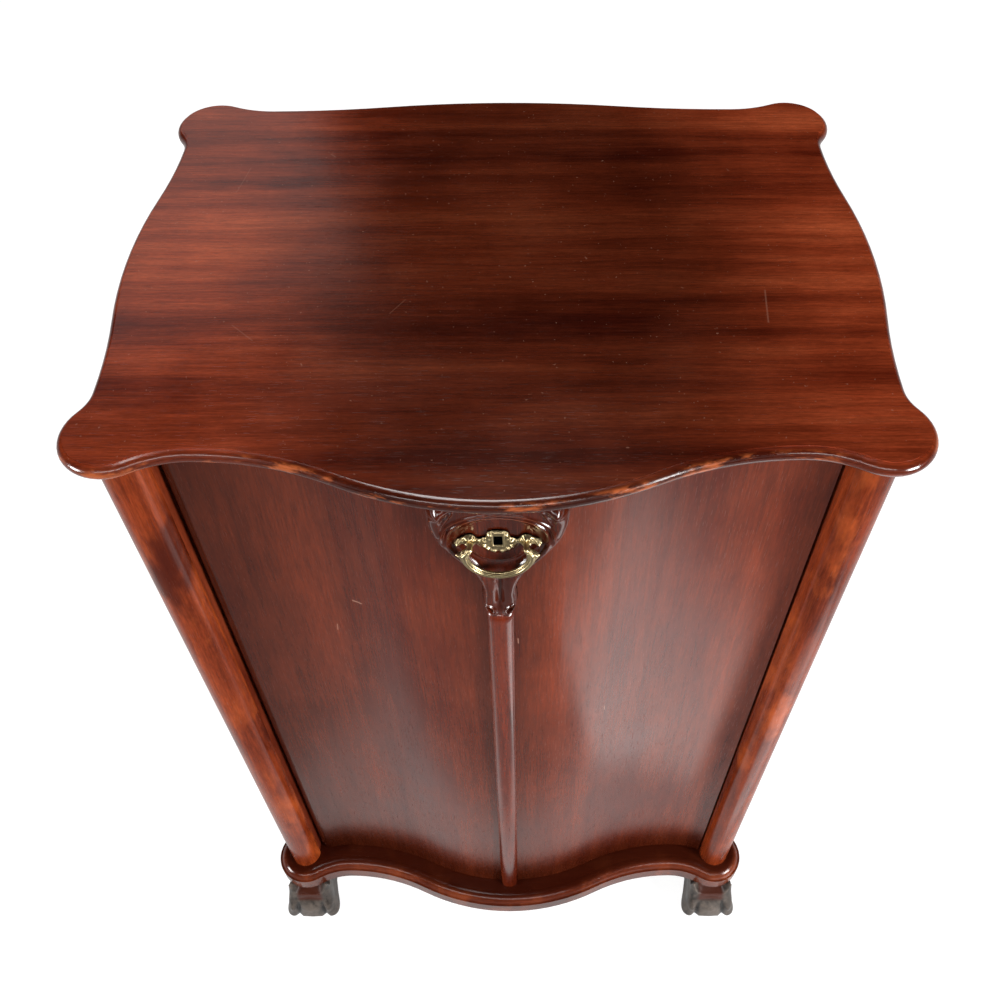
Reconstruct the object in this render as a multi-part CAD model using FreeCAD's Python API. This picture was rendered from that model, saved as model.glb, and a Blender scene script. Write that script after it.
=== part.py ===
import FreeCAD, Part
import math
import os
from collections import namedtuple

V = FreeCAD.Vector
UP = V(0, 0, 1)
OUT_FRONT = V(0, -1, 0)

# Overall size, in millimetres; the origin is on the floor below the middle of the cabinet
WIDTH = 570.0
DEPTH = 466.0
HEIGHT = 870.0
FOOT_H = 75.0
BASE_T = 30.0
TOP_T = 19.0

# Serpentine outline shared by the top and the base: ears at the corners, waves between them
EAR_R = 34.0
FRONT_EAR_SET = 62.7
REAR_EAR_SET = 36.0
FRONT_NECK_IN = 88.0
FRONT_WAVE = 43.0
FRONT_SHARE = 0.528
SIDE_WAVE = 12.0
SIDE_NECK_RUN = 37.3
REAR_NECK_IN = 82.0
REAR_WAVE = 12.5

# Moulded edges
TOP_QUIRK = 1.0
TOP_NOSE_R = 5.75
TOP_ARRIS_IN = 5.0
TOP_COVE_IN = 9.0
TOP_COVE_R = 6.0
BASE_FASCIA_H = 21.0
BASE_STEP = 2.0
BASE_OVOLO_IN = 15.0
BASE_QUIRK = 1.0
EDGE_EASE = 2.0
MOULD_DEPTH = 22.0

# Columns and posts
COLUMN_R = 17.0
TENON_R = 7.0
TENON_L = 10.0
POST_W = 45.0
POST_LEG = 22.0
JAMB_W = 16.0
JAMB_RUN = 30.3
REAR_POST_RUN = 47.0
DOWEL_R = 4.0
DOWEL_L = 12.0

# Panels
SIDE_SET = 28.0
SIDE_T = 12.0
TONGUE_T = 6.0
TONGUE_L = 6.0
BACK_T = 10.0
BACK_LAP = 16.0
FLOOR_T = 10.0
FLOOR_LAP = 2.0
FLOOR_LEDGE = 8.0
FLOOR_BACK_GAP = 5.0

# Record storage: two tiers of upright dividers
SHELF_T = 14.0
SHELF_SET = 10.0
SHELF_EASE = 1.0
TIER_SHARE = 0.492
CLEAT = 20.0
CLEAT_SET = 6.0
DIVIDER_T = 5.0
DIVIDER_COUNT = 5
DIVIDER_SET = 6.0
DIVIDER_BACK_GAP = 9.0
DIVIDER_SCOOP = 34.0
GROOVE = 3.0

# Door and its pivots
DOOR_SET = 28.0
DOOR_T = 19.0
DOOR_GAP = 2.0
PIVOT_SET = 11.5
FREE_SET = 2.5
PIN_R = 3.0
PIN_L = 7.0
PIN_ROOM = 1.0
RUN_FIT = 0.05
RUN_GAP = 0.1
LEAF_T = 2.0
LEAF_L = 36.0
LEAF_W = 8.0
LEAF_END = 7.0
SHOULDER_R = 4.5
STOP_W = 16.0
STOP_T = 3.0
STOP_IN = 2.0
STOP_END = 145.0

# Bead and carved cartouche on the door
BEAD_W = 18.4
BEAD_PROUD = 8.5
BEAD_SEAT = 1.0
BEAD_SIDE = 1.6
BEAD_END = 2.0
CARTOUCHE_SHY = 3.0
CARTOUCHE_SIDE = (
    (41.0, 0.0), (46.5, 9.0), (47.5, 20.0), (46.5, 31.0), (43.5, 42.0), (38.5, 52.0), (32.0, 62.0), (25.0, 72.0),
    (18.0, 84.0), (13.8, 94.0), (12.2, 104.0), (12.6, 113.0), (12.2, 122.0), (9.2, 132.0),
)
DISH_SIDE = (
    (0.0, 84.0), (11.0, 73.0), (20.0, 62.0), (29.5, 50.0), (34.5, 39.0), (31.5, 30.0), (17.0, 20.5),
    (0.0, 17.0),
)
CARTOUCHE_SEAT = 5.8
DISH_DEEP = 5.5
RIM_ROUND = 2.5
KNOB_R = 6.5
KNOB_X = 38.0
KNOB_DROP = 10.0
EYELET_R = 3.2
EYELET_X = 7.8
EYELET_DROP = 122.0
EYELET_DEEP = 3.0
FLUTE_R = 3.0
FLUTE_DROP = (80.0, 112.0)

# Brass pull
PULL_DROP = 44.0
PLATE_T = 2.5
PLATE_SIDE = (
    (0.0, 13.0), (5.0, 12.4), (8.6, 9.5), (8.4, 4.0), (13.0, 1.8), (18.0, 5.5), (24.0, 5.5), (29.0, 3.0),
    (30.0, -1.5), (25.0, -4.5), (19.5, -4.5), (14.0, -2.2), (10.5, -6.0), (8.5, -11.0), (4.0, -13.2),
    (0.0, -12.4),
)
KEY_R = 3.0
KEY_RISE = 3.5
KEY_SLOT_W = 5.2
KEY_DROP = 8.5
KEY_LIP = 1.6
KEY_LIP_T = 1.4
POST_X = 19.0
PULL_POST_R = 2.0
PULL_HEAD_R = 2.8
PULL_HEAD_L = 9.5
PIVOT_PROUD = 6.5
BAIL_PIN_R = 1.25
BAIL_X = 24.4
BAIL_DROP = 6.5
BAIL_HALF = 2.3
BAIL_EYE_R = 2.7
NUT_R = 4.0
NUT_T = 4.0
NUT_SEAT_R = 6.0
NUT_SEAT = 18.0

# Lock
LOCK_HALF_W = 14.0
LOCK_H = 61.0
LOCK_SET = 9.0
LOCK_DEEP = 8.0
LOCK_WALL = 1.5
CAP_T = 1.5
CAP_TAB = 10.0
BOLT_HALF_W = 5.0
BOLT_SET = 2.5
BOLT_T = 4.0
BOLT_L = 35.6
BOLT_SHY = 0.4
BOLT_GUIDE = 0.2
TALON_R = 3.0
KEY_PIN_R = 1.6
SPRING_T = 0.6
SPRING_FOOT = 15.0
SPRING_RISE = 24.0
STRIKE_HALF_L = 20.0
STRIKE_T = 2.0
STRIKE_ROOM = 1.0
MORTISE_DEEP = 9.0

# Feet
COLLAR_H = 12.0
COLLAR_R = 24.0
COLLAR_BULGE = 3.5
FOOT_DOWEL_R = 6.0
FOOT_DOWEL_DOWN = 21.0
FOOT_DOWEL_UP = 16.0
PAW_HALF_W = 29.5
PAW_REACH = 48.5
PAW_HEEL = 27.0
PAW_OUT = 4.5
PAW_POINTS = 36
PAW_SQUARE = 0.78
TOE_SPREAD = math.radians(41.0)
TOE_REACH = math.radians(82.0)
PawRing = namedtuple("PawRing", "rise wide front heel toe")
PAW_RINGS = (
    PawRing(0.0, 0.95, 0.93, 0.95, 0.030),
    PawRing(0.15, 1.0, 1.0, 1.0, 0.045),
    PawRing(0.38, 0.98, 0.95, 1.0, 0.035),
    PawRing(0.62, 0.97, 0.80, 1.0, 0.015),
    PawRing(0.84, 0.95, 0.68, 0.98, 0.0),
    PawRing(1.0, 0.93, 0.62, 0.98, 0.0),
)

# Fasteners and fits
FIT = 0.15
SEAT_FIT = 0.2
Screw = namedtuple("Screw", "head_r head_h shank_r length")
BIG_HEAD_R = 4.0
BIG_HEAD_H = 2.0
BIG_SHANK_R = 1.8
BIG_SHANK_L = 26.0
SMALL_HEAD_R = 2.6
SMALL_HEAD_H = 1.0
SMALL_SHANK_R = 1.3
SMALL_SHANK_L = 11.0
BIG_SCREW = Screw(BIG_HEAD_R, BIG_HEAD_H, BIG_SHANK_R, BIG_SHANK_L)
SMALL_SCREW = Screw(SMALL_HEAD_R, SMALL_HEAD_H, SMALL_SHANK_R, SMALL_SHANK_L)
SCREW_ROOM = 0.3
BACK_SCREW_END = 53.0
BACK_SCREW_COUNT = 4
TOP_SCREW_END = 28.0
TOP_SCREW_COUNT = 3

# Levels and places that follow from the sizes above
FRONT_Y = -DEPTH / 2
REAR_Y = DEPTH / 2
TOP_UNDER = HEIGHT - TOP_T
BASE_TOP = FOOT_H + BASE_T
EAR_X = WIDTH / 2 - EAR_R
FRONT_EAR_Y = FRONT_Y + FRONT_EAR_SET
REAR_EAR_Y = REAR_Y - REAR_EAR_SET
FRONT_NECK_X = WIDTH / 2 - FRONT_NECK_IN
REAR_NECK_X = WIDTH / 2 - REAR_NECK_IN
POST_IN_X = EAR_X - POST_W
JAMB_X = EAR_X - JAMB_W
REBATE_Y = FRONT_EAR_Y + JAMB_RUN
FRONT_POST_END = REBATE_Y + POST_LEG
REAR_POST_START = REAR_EAR_Y - REAR_POST_RUN
BACK_FACE = REAR_EAR_Y - BACK_T
FLOOR_HALF_W = POST_IN_X + FLOOR_LAP
FLOOR_Y = (REBATE_Y + FLOOR_LAP, BACK_FACE - FLOOR_BACK_GAP)
SHELF_Z = BASE_TOP + TIER_SHARE * (TOP_UNDER - BASE_TOP - SHELF_T)
CLEAT_X = (POST_IN_X + CLEAT_SET, POST_IN_X + CLEAT_SET + CLEAT)
DIVIDER_PITCH = 2 * POST_IN_X / (DIVIDER_COUNT + 1)
DIVIDER_Y = (FRONT_POST_END + DIVIDER_SET, BACK_FACE - DIVIDER_BACK_GAP)
DOOR_Z = (BASE_TOP + DOOR_GAP, TOP_UNDER - DOOR_GAP)
DOOR_APEX = FRONT_Y + DOOR_SET
PIVOT_X = JAMB_X - PIVOT_SET
FREE_X = JAMB_X - FREE_SET
STOP_Z = (BASE_TOP + STOP_END, TOP_UNDER - STOP_END)
CARTOUCHE_TOP = DOOR_Z[1] - CARTOUCHE_SHY
CARTOUCHE_BOTTOM = CARTOUCHE_TOP - CARTOUCHE_SIDE[-1][1]
CARTOUCHE_BACK = DOOR_APEX + CARTOUCHE_SEAT
CARTOUCHE_FACE = DOOR_APEX - BEAD_PROUD
GROUND_Y = CARTOUCHE_FACE + DISH_DEEP
PULL_Z = CARTOUCHE_TOP - PULL_DROP
PLATE_FACE = GROUND_Y - PLATE_T
BAIL_Y = PLATE_FACE - PIVOT_PROUD
KEY_Z = PULL_Z + KEY_RISE
NUT_SEAT_Y = DOOR_APEX + NUT_SEAT
LOCK_Z = DOOR_Z[1] - LOCK_H
LOCK_FACE_Y = DOOR_APEX + LOCK_SET
LOCK_BACK_Y = LOCK_FACE_Y + LOCK_DEEP
BOLT_Y = (LOCK_FACE_Y + BOLT_SET, LOCK_FACE_Y + BOLT_SET + BOLT_T)
PAW_H = FOOT_H - COLLAR_H
FOOT_DOWEL = (PAW_H - FOOT_DOWEL_DOWN, FOOT_H + FOOT_DOWEL_UP)
CORNERS = [(sx, name, y) for name, y in (("front", FRONT_EAR_Y), ("rear", REAR_EAR_Y)) for sx in (-1, 1)]
SIDE_NAME = {-1: "left", 1: "right"}


# Serpentine outline made of tangent arcs

Bend = namedtuple("Bend", "x y r bulge")


def wave_radius(run, rise):
    """Sum of the radii of two equal-ended tangent arcs that climb a rise over a run."""
    return (run * run + rise * rise) / (2 * rise)


def neck_radius(run, rise):
    """Radius of the hollow arc that leaves a neck and meets an ear."""
    return (run * run + rise * rise - EAR_R * EAR_R) / (2 * (EAR_R - rise))


def make_bends():
    """Arcs of the right half of the outline, from the front apex to the rear apex."""
    neck_y = FRONT_Y + FRONT_WAVE
    neck_x = WIDTH / 2 - SIDE_WAVE
    rear_neck_y = REAR_Y - REAR_WAVE
    front_sum = wave_radius(FRONT_NECK_X, FRONT_WAVE)
    apex_r = front_sum * FRONT_SHARE
    dip_r = front_sum - apex_r
    cheek_r = neck_radius(EAR_X - FRONT_NECK_X, FRONT_EAR_Y - neck_y)
    side_front = FRONT_EAR_Y + SIDE_NECK_RUN
    side_rear = REAR_EAR_Y - SIDE_NECK_RUN
    side_mid = (side_front + side_rear) / 2
    side_r = wave_radius(side_mid - side_front, SIDE_WAVE) / 2
    waist_r = neck_radius(SIDE_NECK_RUN, neck_x - EAR_X)
    rear_r = wave_radius(REAR_NECK_X, REAR_WAVE) / 2
    nape_r = neck_radius(EAR_X - REAR_NECK_X, rear_neck_y - REAR_EAR_Y)
    return [
        Bend(0, FRONT_Y + apex_r, apex_r, 1),
        Bend(FRONT_NECK_X, neck_y - dip_r, dip_r, -1),
        Bend(FRONT_NECK_X, neck_y - cheek_r, cheek_r, -1),
        Bend(EAR_X, FRONT_EAR_Y, EAR_R, 1),
        Bend(neck_x + waist_r, side_front, waist_r, -1),
        Bend(neck_x + side_r, side_front, side_r, -1),
        Bend(WIDTH / 2 - side_r, side_mid, side_r, 1),
        Bend(neck_x + side_r, side_rear, side_r, -1),
        Bend(neck_x + waist_r, side_rear, waist_r, -1),
        Bend(EAR_X, REAR_EAR_Y, EAR_R, 1),
        Bend(REAR_NECK_X, rear_neck_y + nape_r, nape_r, -1),
        Bend(REAR_NECK_X, rear_neck_y + rear_r, rear_r, -1),
        Bend(0, REAR_Y - rear_r, rear_r, 1),
    ]


BENDS = make_bends()
APEX, DIP, CHEEK = BENDS[0:3]
SIDE_BENDS = BENDS[5:8]


def unit(x, y):
    """Direction of a plan vector."""
    length = math.hypot(x, y)
    return x / length, y / length


def touch(a, b, inset):
    """Point where two neighbouring arcs meet when the outline is drawn in by inset."""
    if a.bulge != b.bulge:
        ux, uy = unit(b.x - a.x, b.y - a.y)
        r = a.r - a.bulge * inset
        return a.x + r * ux, a.y + r * uy
    small, large = sorted((a, b), key=lambda bend: bend.r)
    ux, uy = unit(small.x - large.x, small.y - large.y)
    r = small.r - small.bulge * inset
    return small.x + r * ux, small.y + r * uy


def arc(bend, start, end):
    """Edge along one arc between two plan points."""
    ux, uy = unit(start[0] + end[0] - 2 * bend.x, start[1] + end[1] - 2 * bend.y)
    r = math.hypot(start[0] - bend.x, start[1] - bend.y)
    mid = V(bend.x + r * ux, bend.y + r * uy, 0)
    return Part.Arc(V(start[0], start[1], 0), mid, V(end[0], end[1], 0)).toShape()


def chain(bends, start, end, inset):
    """Edges along consecutive arcs from start to end."""
    stops = [start]
    stops += [touch(a, b, inset) for a, b in zip(bends, bends[1:])]
    stops.append(end)
    return [arc(bend, p, q) for bend, p, q in zip(bends, stops, stops[1:])]


def mirrored(shape):
    """The same shape on the other side of the cabinet."""
    return shape.mirror(V(0, 0, 0), V(1, 0, 0))


def on_side(shape, side):
    """A right-hand shape, mirrored when it belongs on the left."""
    return shape if side > 0 else mirrored(shape)


def outline(inset, z):
    """Closed wire of the serpentine outline, drawn in by inset."""
    half = chain(BENDS, (0, FRONT_Y + inset), (0, REAR_Y - inset), inset)
    edges = half + [mirrored(edge) for edge in reversed(half)]
    wire = Part.Wire(Part.__sortEdges__(edges))
    wire.translate(V(0, 0, z))
    return wire


def slab(inset, low, high):
    """Plain board of the serpentine outline."""
    return Part.Face(outline(inset, low)).extrude(V(0, 0, high - low))


def polygon(points):
    """Closed wire through plan points."""
    corners = [V(x, y, 0) for x, y in points]
    return Part.makePolygon(corners + corners[:1])


def prism(points, low, high):
    """Upright solid on a plan polygon."""
    wire = polygon(points)
    wire.translate(V(0, 0, low))
    return Part.Face(wire).extrude(V(0, 0, high - low))


def block(x, y, z):
    """Box between pairs of limits."""
    return Part.makeBox(x[1] - x[0], y[1] - y[0], z[1] - z[0], V(x[0], y[0], z[0]))


def peg(x, y, low, high, radius):
    """Upright round peg."""
    return Part.makeCylinder(radius, high - low, V(x, y, low))


def rod(x, z, start, end, radius):
    """Round rod from front to back."""
    return Part.makeCylinder(radius, end - start, V(x, start, z), V(0, 1, 0))


def moulded(section, low, high):
    """Serpentine board whose edge follows a closed section of edges in the inset and height plane."""
    sweep = Part.BRepOffsetAPI.MakePipeShell(outline(0, 0))
    sweep.setBiNormalMode(UP)
    sweep.add(Part.Wire(section))
    sweep.build()
    sweep.makeSolid()
    core = slab(MOULD_DEPTH - EDGE_EASE, low, high)
    return core.fuse(sweep.shape()).removeSplitter()


def edge_point(inset, z):
    """Point of a moulding section at the front apex."""
    return V(0, FRONT_Y + inset, z)


def line(p, q):
    """Straight edge."""
    return Part.LineSegment(p, q).toShape()


def spline(points):
    """Smooth edge through points."""
    curve = Part.BSplineCurve()
    curve.interpolate(points)
    return curve.toShape()


def screw(kind, seat, along):
    """Pan-head screw with its head on a seat, pointing along a direction."""
    head = Part.makeCylinder(kind.head_r, kind.head_h, seat, along * -1)
    return head.fuse(Part.makeCylinder(kind.shank_r, kind.length, seat, along)).removeSplitter()


def screw_hole(kind, seat, along):
    """Clearance for a screw's shank."""
    return Part.makeCylinder(kind.shank_r + SCREW_ROOM, kind.length + SCREW_ROOM, seat, along)


def group(solids):
    """Several identical pieces kept as one node."""
    return Part.makeCompound(solids)


# Places of the fasteners

def spaced(first, last, count):
    """Evenly spaced places from first to last."""
    return [first + (last - first) * i / (count - 1) for i in range(count)]


def dowel_places():
    """Plan centre of the dowel in each post."""
    front = (FRONT_POST_END + REBATE_Y) / 2
    rear = (REAR_POST_START + BACK_FACE) / 2
    return [(sx * JAMB_X, front if name == "front" else rear) for sx, name, _ in CORNERS]


def back_screw_seats():
    """Seats of the screws that hold the back panel."""
    x = POST_IN_X + BACK_LAP / 2
    heights = spaced(BASE_TOP + BACK_SCREW_END, TOP_UNDER - BACK_SCREW_END, BACK_SCREW_COUNT)
    return [V(sx * x, REAR_EAR_Y, z) for sx in (-1, 1) for z in heights]


def top_screw_seats():
    """Seats of the screws that hold the top from below."""
    x = sum(CLEAT_X) / 2
    places = spaced(FRONT_POST_END + TOP_SCREW_END, REAR_POST_START - TOP_SCREW_END, TOP_SCREW_COUNT)
    return [V(sx * x, y, TOP_UNDER - CLEAT) for sx in (-1, 1) for y in places]


def pivot_centre():
    """Plan centre of the door's pivot, in the middle of its thickness."""
    r = CHEEK.r + DOOR_SET + DOOR_T / 2
    return -PIVOT_X, CHEEK.y + math.sqrt(r * r - (PIVOT_X - CHEEK.x) ** 2)


PIVOT = pivot_centre()


def leaf_limits():
    """Plan limits of the pivot leaf and the pivot plate."""
    x = (PIVOT[0] - LEAF_END, PIVOT[0] - LEAF_END + LEAF_L)
    return x, (PIVOT[1] - LEAF_W / 2, PIVOT[1] + LEAF_W / 2)


def leaf_screw_seats(z):
    """Seats of the two small screws in a pivot leaf."""
    x, _ = leaf_limits()
    return [V(x[1] - step, PIVOT[1], z) for step in (LEAF_W / 2, LEAF_L / 2)]


def strike_screw_seats():
    """Seats of the two strike screws."""
    x = STRIKE_HALF_L - LEAF_W / 2
    y = sum(BOLT_Y) / 2
    z = TOP_UNDER + SMALL_SCREW.head_h
    return [V(sx * x, y, z) for sx in (-1, 1)]


def cap_screw_seats():
    """Seats of the two screws that hold the lock."""
    x = LOCK_HALF_W - BOLT_HALF_W
    z = LOCK_Z - CAP_TAB / 2
    return [V(sx * x, LOCK_BACK_Y + CAP_T, z) for sx in (-1, 1)]


# Case

def top_board():
    """Moulded top: quirk, round nose and a cove under the nose."""
    nose_z = HEIGHT - TOP_QUIRK - TOP_NOSE_R
    low = HEIGHT - TOP_QUIRK - 2 * TOP_NOSE_R
    inner = [edge_point(MOULD_DEPTH, TOP_UNDER), edge_point(MOULD_DEPTH, HEIGHT)]
    arris = edge_point(TOP_ARRIS_IN, HEIGHT)
    quirk = edge_point(TOP_ARRIS_IN, HEIGHT - TOP_QUIRK)
    under = edge_point(TOP_ARRIS_IN, low)
    shelf = edge_point(TOP_COVE_IN, low)
    foot = edge_point(TOP_COVE_IN + TOP_COVE_R, TOP_UNDER)
    hollow = TOP_COVE_R * (1 - math.sqrt(0.5))
    cove_mid = edge_point(TOP_COVE_IN + TOP_COVE_R - hollow, low - hollow)
    section = [
        line(inner[0], inner[1]), line(inner[1], arris), line(arris, quirk),
        Part.Arc(quirk, edge_point(0, nose_z), under).toShape(), line(under, shelf),
        Part.Arc(shelf, cove_mid, foot).toShape(), line(foot, inner[0]),
    ]
    board = moulded(section, TOP_UNDER, HEIGHT)
    for sx, _, y in CORNERS:
        board = board.cut(peg(sx * EAR_X, y, TOP_UNDER, TOP_UNDER + TENON_L + FIT, TENON_R + FIT))
    for x, y in dowel_places():
        board = board.cut(peg(x, y, TOP_UNDER, TOP_UNDER + DOWEL_L, DOWEL_R + FIT))
    for seat in top_screw_seats():
        board = board.cut(screw_hole(BIG_SCREW, seat, UP))
    board = grooved(board, TOP_UNDER, 1).cut(pivot_seat(TOP_UNDER, 1))
    strike = strike_blank(TOP_UNDER)
    mortise = bolt_room(TOP_UNDER, TOP_UNDER + MORTISE_DEEP)
    board = board.cut(strike).cut(mortise)
    for seat in strike_screw_seats():
        board = board.cut(screw_hole(SMALL_SCREW, seat, UP))
    return board


def base_frame():
    """Moulded base: deep fascia, step, ovolo and quirk, with an opening for the floor."""
    fascia_top = FOOT_H + BASE_FASCIA_H
    inner = [edge_point(MOULD_DEPTH, FOOT_H), edge_point(MOULD_DEPTH, BASE_TOP)]
    ease = [edge_point(EDGE_EASE, FOOT_H), edge_point(0, FOOT_H + EDGE_EASE)]
    face = edge_point(0, fascia_top)
    step = edge_point(BASE_STEP, fascia_top)
    crown = edge_point(BASE_OVOLO_IN, BASE_TOP - BASE_QUIRK)
    quirk = edge_point(BASE_OVOLO_IN, BASE_TOP)
    swell = (crown.y - step.y) * (1 - math.sqrt(0.5))
    lift = (crown.z - step.z) * math.sqrt(0.5)
    belly = V(0, step.y + swell, step.z + lift)
    section = [
        line(inner[0], ease[0]), line(ease[0], ease[1]), line(ease[1], face), line(face, step),
        Part.Arc(step, belly, crown).toShape(), line(crown, quirk), line(quirk, inner[1]),
        line(inner[1], inner[0]),
    ]
    frame = moulded(section, FOOT_H, BASE_TOP)
    gap_x = FLOOR_HALF_W - FLOOR_LEDGE
    gap_y = (FLOOR_Y[0] + FLOOR_LEDGE, FLOOR_Y[1] - FLOOR_LEDGE)
    frame = frame.cut(block((-gap_x, gap_x), gap_y, (FOOT_H, BASE_TOP)))
    frame = frame.cut(floor_blank())
    for sx, _, y in CORNERS:
        frame = frame.cut(peg(sx * EAR_X, y, BASE_TOP - TENON_L - FIT, BASE_TOP, TENON_R + FIT))
        frame = frame.cut(peg(sx * EAR_X, y, FOOT_H, FOOT_DOWEL[1] + FIT, FOOT_DOWEL_R + FIT))
    for x, y in dowel_places():
        frame = frame.cut(peg(x, y, BASE_TOP - DOWEL_L, BASE_TOP, DOWEL_R + FIT))
    return frame.cut(pivot_seat(BASE_TOP, -1))


def floor_blank():
    """Floor board before it is grooved."""
    half = (-FLOOR_HALF_W, FLOOR_HALF_W)
    return block(half, FLOOR_Y, (BASE_TOP - FLOOR_T, BASE_TOP))


def divider_places():
    """Centres of the record dividers across the cabinet."""
    first = -(DIVIDER_COUNT - 1) / 2 * DIVIDER_PITCH
    return [first + DIVIDER_PITCH * i for i in range(DIVIDER_COUNT)]


def grooved(board, z, toward):
    """Board with a groove for each divider on the face at height z."""
    depth = sorted((z, z + toward * GROOVE))
    for x in divider_places():
        groove = (x - DIVIDER_T / 2, x + DIVIDER_T / 2)
        board = board.cut(block(groove, DIVIDER_Y, depth))
    return board


def column(sx, y, inward):
    """Three-quarter round column with a tenon at each end, notched round the corner of its post."""
    shaft = peg(sx * EAR_X, y, BASE_TOP, TOP_UNDER, COLUMN_R)
    reach = sorted((y, y + inward * 2 * COLUMN_R))
    inside = sorted((sx * EAR_X, sx * (EAR_X - 2 * COLUMN_R)))
    shaft = shaft.cut(block(inside, reach, (BASE_TOP, TOP_UNDER)))
    tenons = [
        peg(sx * EAR_X, y, BASE_TOP - TENON_L, BASE_TOP, TENON_R),
        peg(sx * EAR_X, y, TOP_UNDER, TOP_UNDER + TENON_L, TENON_R),
    ]
    return shaft.multiFuse(tenons).removeSplitter()


def tongue(y):
    """Tongue of a side panel, starting at a post's face."""
    x = WIDTH / 2 - SIDE_WAVE - SIDE_SET - (SIDE_T - TONGUE_T) / 2
    return block((x - TONGUE_T, x), (y, y + TONGUE_L), (BASE_TOP, TOP_UNDER))


def post_dowels():
    """Dowels between the posts, the top and the base."""
    pegs = []
    for x, y in dowel_places():
        pegs += [peg(x, y, z - DOWEL_L, z + DOWEL_L, DOWEL_R) for z in (BASE_TOP, TOP_UNDER)]
    return pegs


def post(sx, name):
    """Corner post: the front ones have a rebate for the door, the rear ones for the back."""
    if name == "front":
        plan = [
            (JAMB_X, FRONT_EAR_Y), (EAR_X, FRONT_EAR_Y), (EAR_X, FRONT_POST_END),
            (POST_IN_X, FRONT_POST_END), (POST_IN_X, REBATE_Y), (JAMB_X, REBATE_Y),
        ]
        groove = tongue(FRONT_POST_END - TONGUE_L)
    else:
        lap = POST_IN_X + BACK_LAP
        plan = [
            (POST_IN_X, REAR_POST_START), (EAR_X, REAR_POST_START), (EAR_X, REAR_EAR_Y),
            (lap, REAR_EAR_Y), (lap, BACK_FACE), (POST_IN_X, BACK_FACE),
        ]
        groove = tongue(REAR_POST_START)
    body = on_side(prism(plan, BASE_TOP, TOP_UNDER).cut(groove), sx)
    for x, y in dowel_places():
        for z in (BASE_TOP, TOP_UNDER):
            body = body.cut(peg(x, y, z - DOWEL_L, z + DOWEL_L, DOWEL_R + FIT))
    for seat in back_screw_seats():
        body = body.cut(screw_hole(BIG_SCREW, seat, OUT_FRONT))
    return body


def side_panel(sx):
    """Bowed side panel with a tongue on each upright edge."""
    ends = (FRONT_POST_END, REAR_POST_START)
    faces = []
    for inset in (SIDE_SET, SIDE_SET + SIDE_T):
        points = []
        for bend, y in zip((SIDE_BENDS[0], SIDE_BENDS[-1]), ends):
            r = bend.r + inset
            points.append((bend.x - math.sqrt(r * r - (y - bend.y) ** 2), y))
        faces.append((chain(SIDE_BENDS, points[0], points[1], inset), points))
    (outer, outer_ends), (inner, inner_ends) = faces
    joins = [line(V(p[0], p[1], 0), V(q[0], q[1], 0)) for p, q in zip(outer_ends, inner_ends)]
    wire = Part.Wire(Part.__sortEdges__(outer + inner + joins))
    wire.translate(V(0, 0, BASE_TOP))
    panel = Part.Face(wire).extrude(V(0, 0, TOP_UNDER - BASE_TOP))
    tongues = [tongue(FRONT_POST_END - TONGUE_L), tongue(REAR_POST_START)]
    return on_side(panel.multiFuse(tongues).removeSplitter(), sx)


def back_panel():
    """Plain back let into the rear posts."""
    half = POST_IN_X + BACK_LAP
    panel = block((-half, half), (BACK_FACE, REAR_EAR_Y), (BASE_TOP, TOP_UNDER))
    for seat in back_screw_seats():
        panel = panel.cut(screw_hole(BIG_SCREW, seat, OUT_FRONT))
    return panel


def cleats(top):
    """Pair of cleats between the posts, with their upper faces at a height."""
    piece = block(CLEAT_X, (FRONT_POST_END, REAR_POST_START), (top - CLEAT, top))
    return [mirrored(piece), piece]


def top_cleats():
    """Cleats under the top, bored for its screws."""
    pieces = []
    for piece in cleats(TOP_UNDER):
        for seat in top_screw_seats():
            piece = piece.cut(screw_hole(BIG_SCREW, seat, UP))
        pieces.append(piece)
    return group(pieces)


def middle_shelf():
    """Shelf notched round the posts, grooved above and below."""
    wide = CLEAT_X[1] - SHELF_EASE
    front = REBATE_Y + SHELF_SET
    half = [
        (POST_IN_X, front), (POST_IN_X, FRONT_POST_END), (wide, FRONT_POST_END),
        (wide, REAR_POST_START), (POST_IN_X, REAR_POST_START), (POST_IN_X, BACK_FACE),
    ]
    plan = half + [(-x, y) for x, y in reversed(half)]
    board = prism(plan, SHELF_Z, SHELF_Z + SHELF_T)
    board = grooved(board, SHELF_Z, 1)
    return grooved(board, SHELF_Z + SHELF_T, -1)


def dividers(low, high):
    """Set of upright dividers, each with a shallow finger scoop in its front edge."""
    mid = (low + high) / 2
    pieces = []
    for x in divider_places():
        sides = (x - DIVIDER_T / 2, x + DIVIDER_T / 2)
        board = block(sides, DIVIDER_Y, (low - GROOVE, high + GROOVE))
        span = (high - low) / 2 - 2 * DIVIDER_SCOOP
        radius = wave_radius(span, DIVIDER_SCOOP)
        hollow = Part.makeCylinder(
            radius, DIVIDER_T, V(sides[0], DIVIDER_Y[0] + DIVIDER_SCOOP - radius, mid), V(1, 0, 0))
        pieces.append(board.cut(hollow))
    return group(pieces)


def door_stop():
    """Thin lath on the right post that the closed door rests against."""
    x = (POST_IN_X + STOP_IN, POST_IN_X + STOP_IN + STOP_W)
    return block(x, (REBATE_Y - STOP_T, REBATE_Y), STOP_Z)


# Feet

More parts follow.
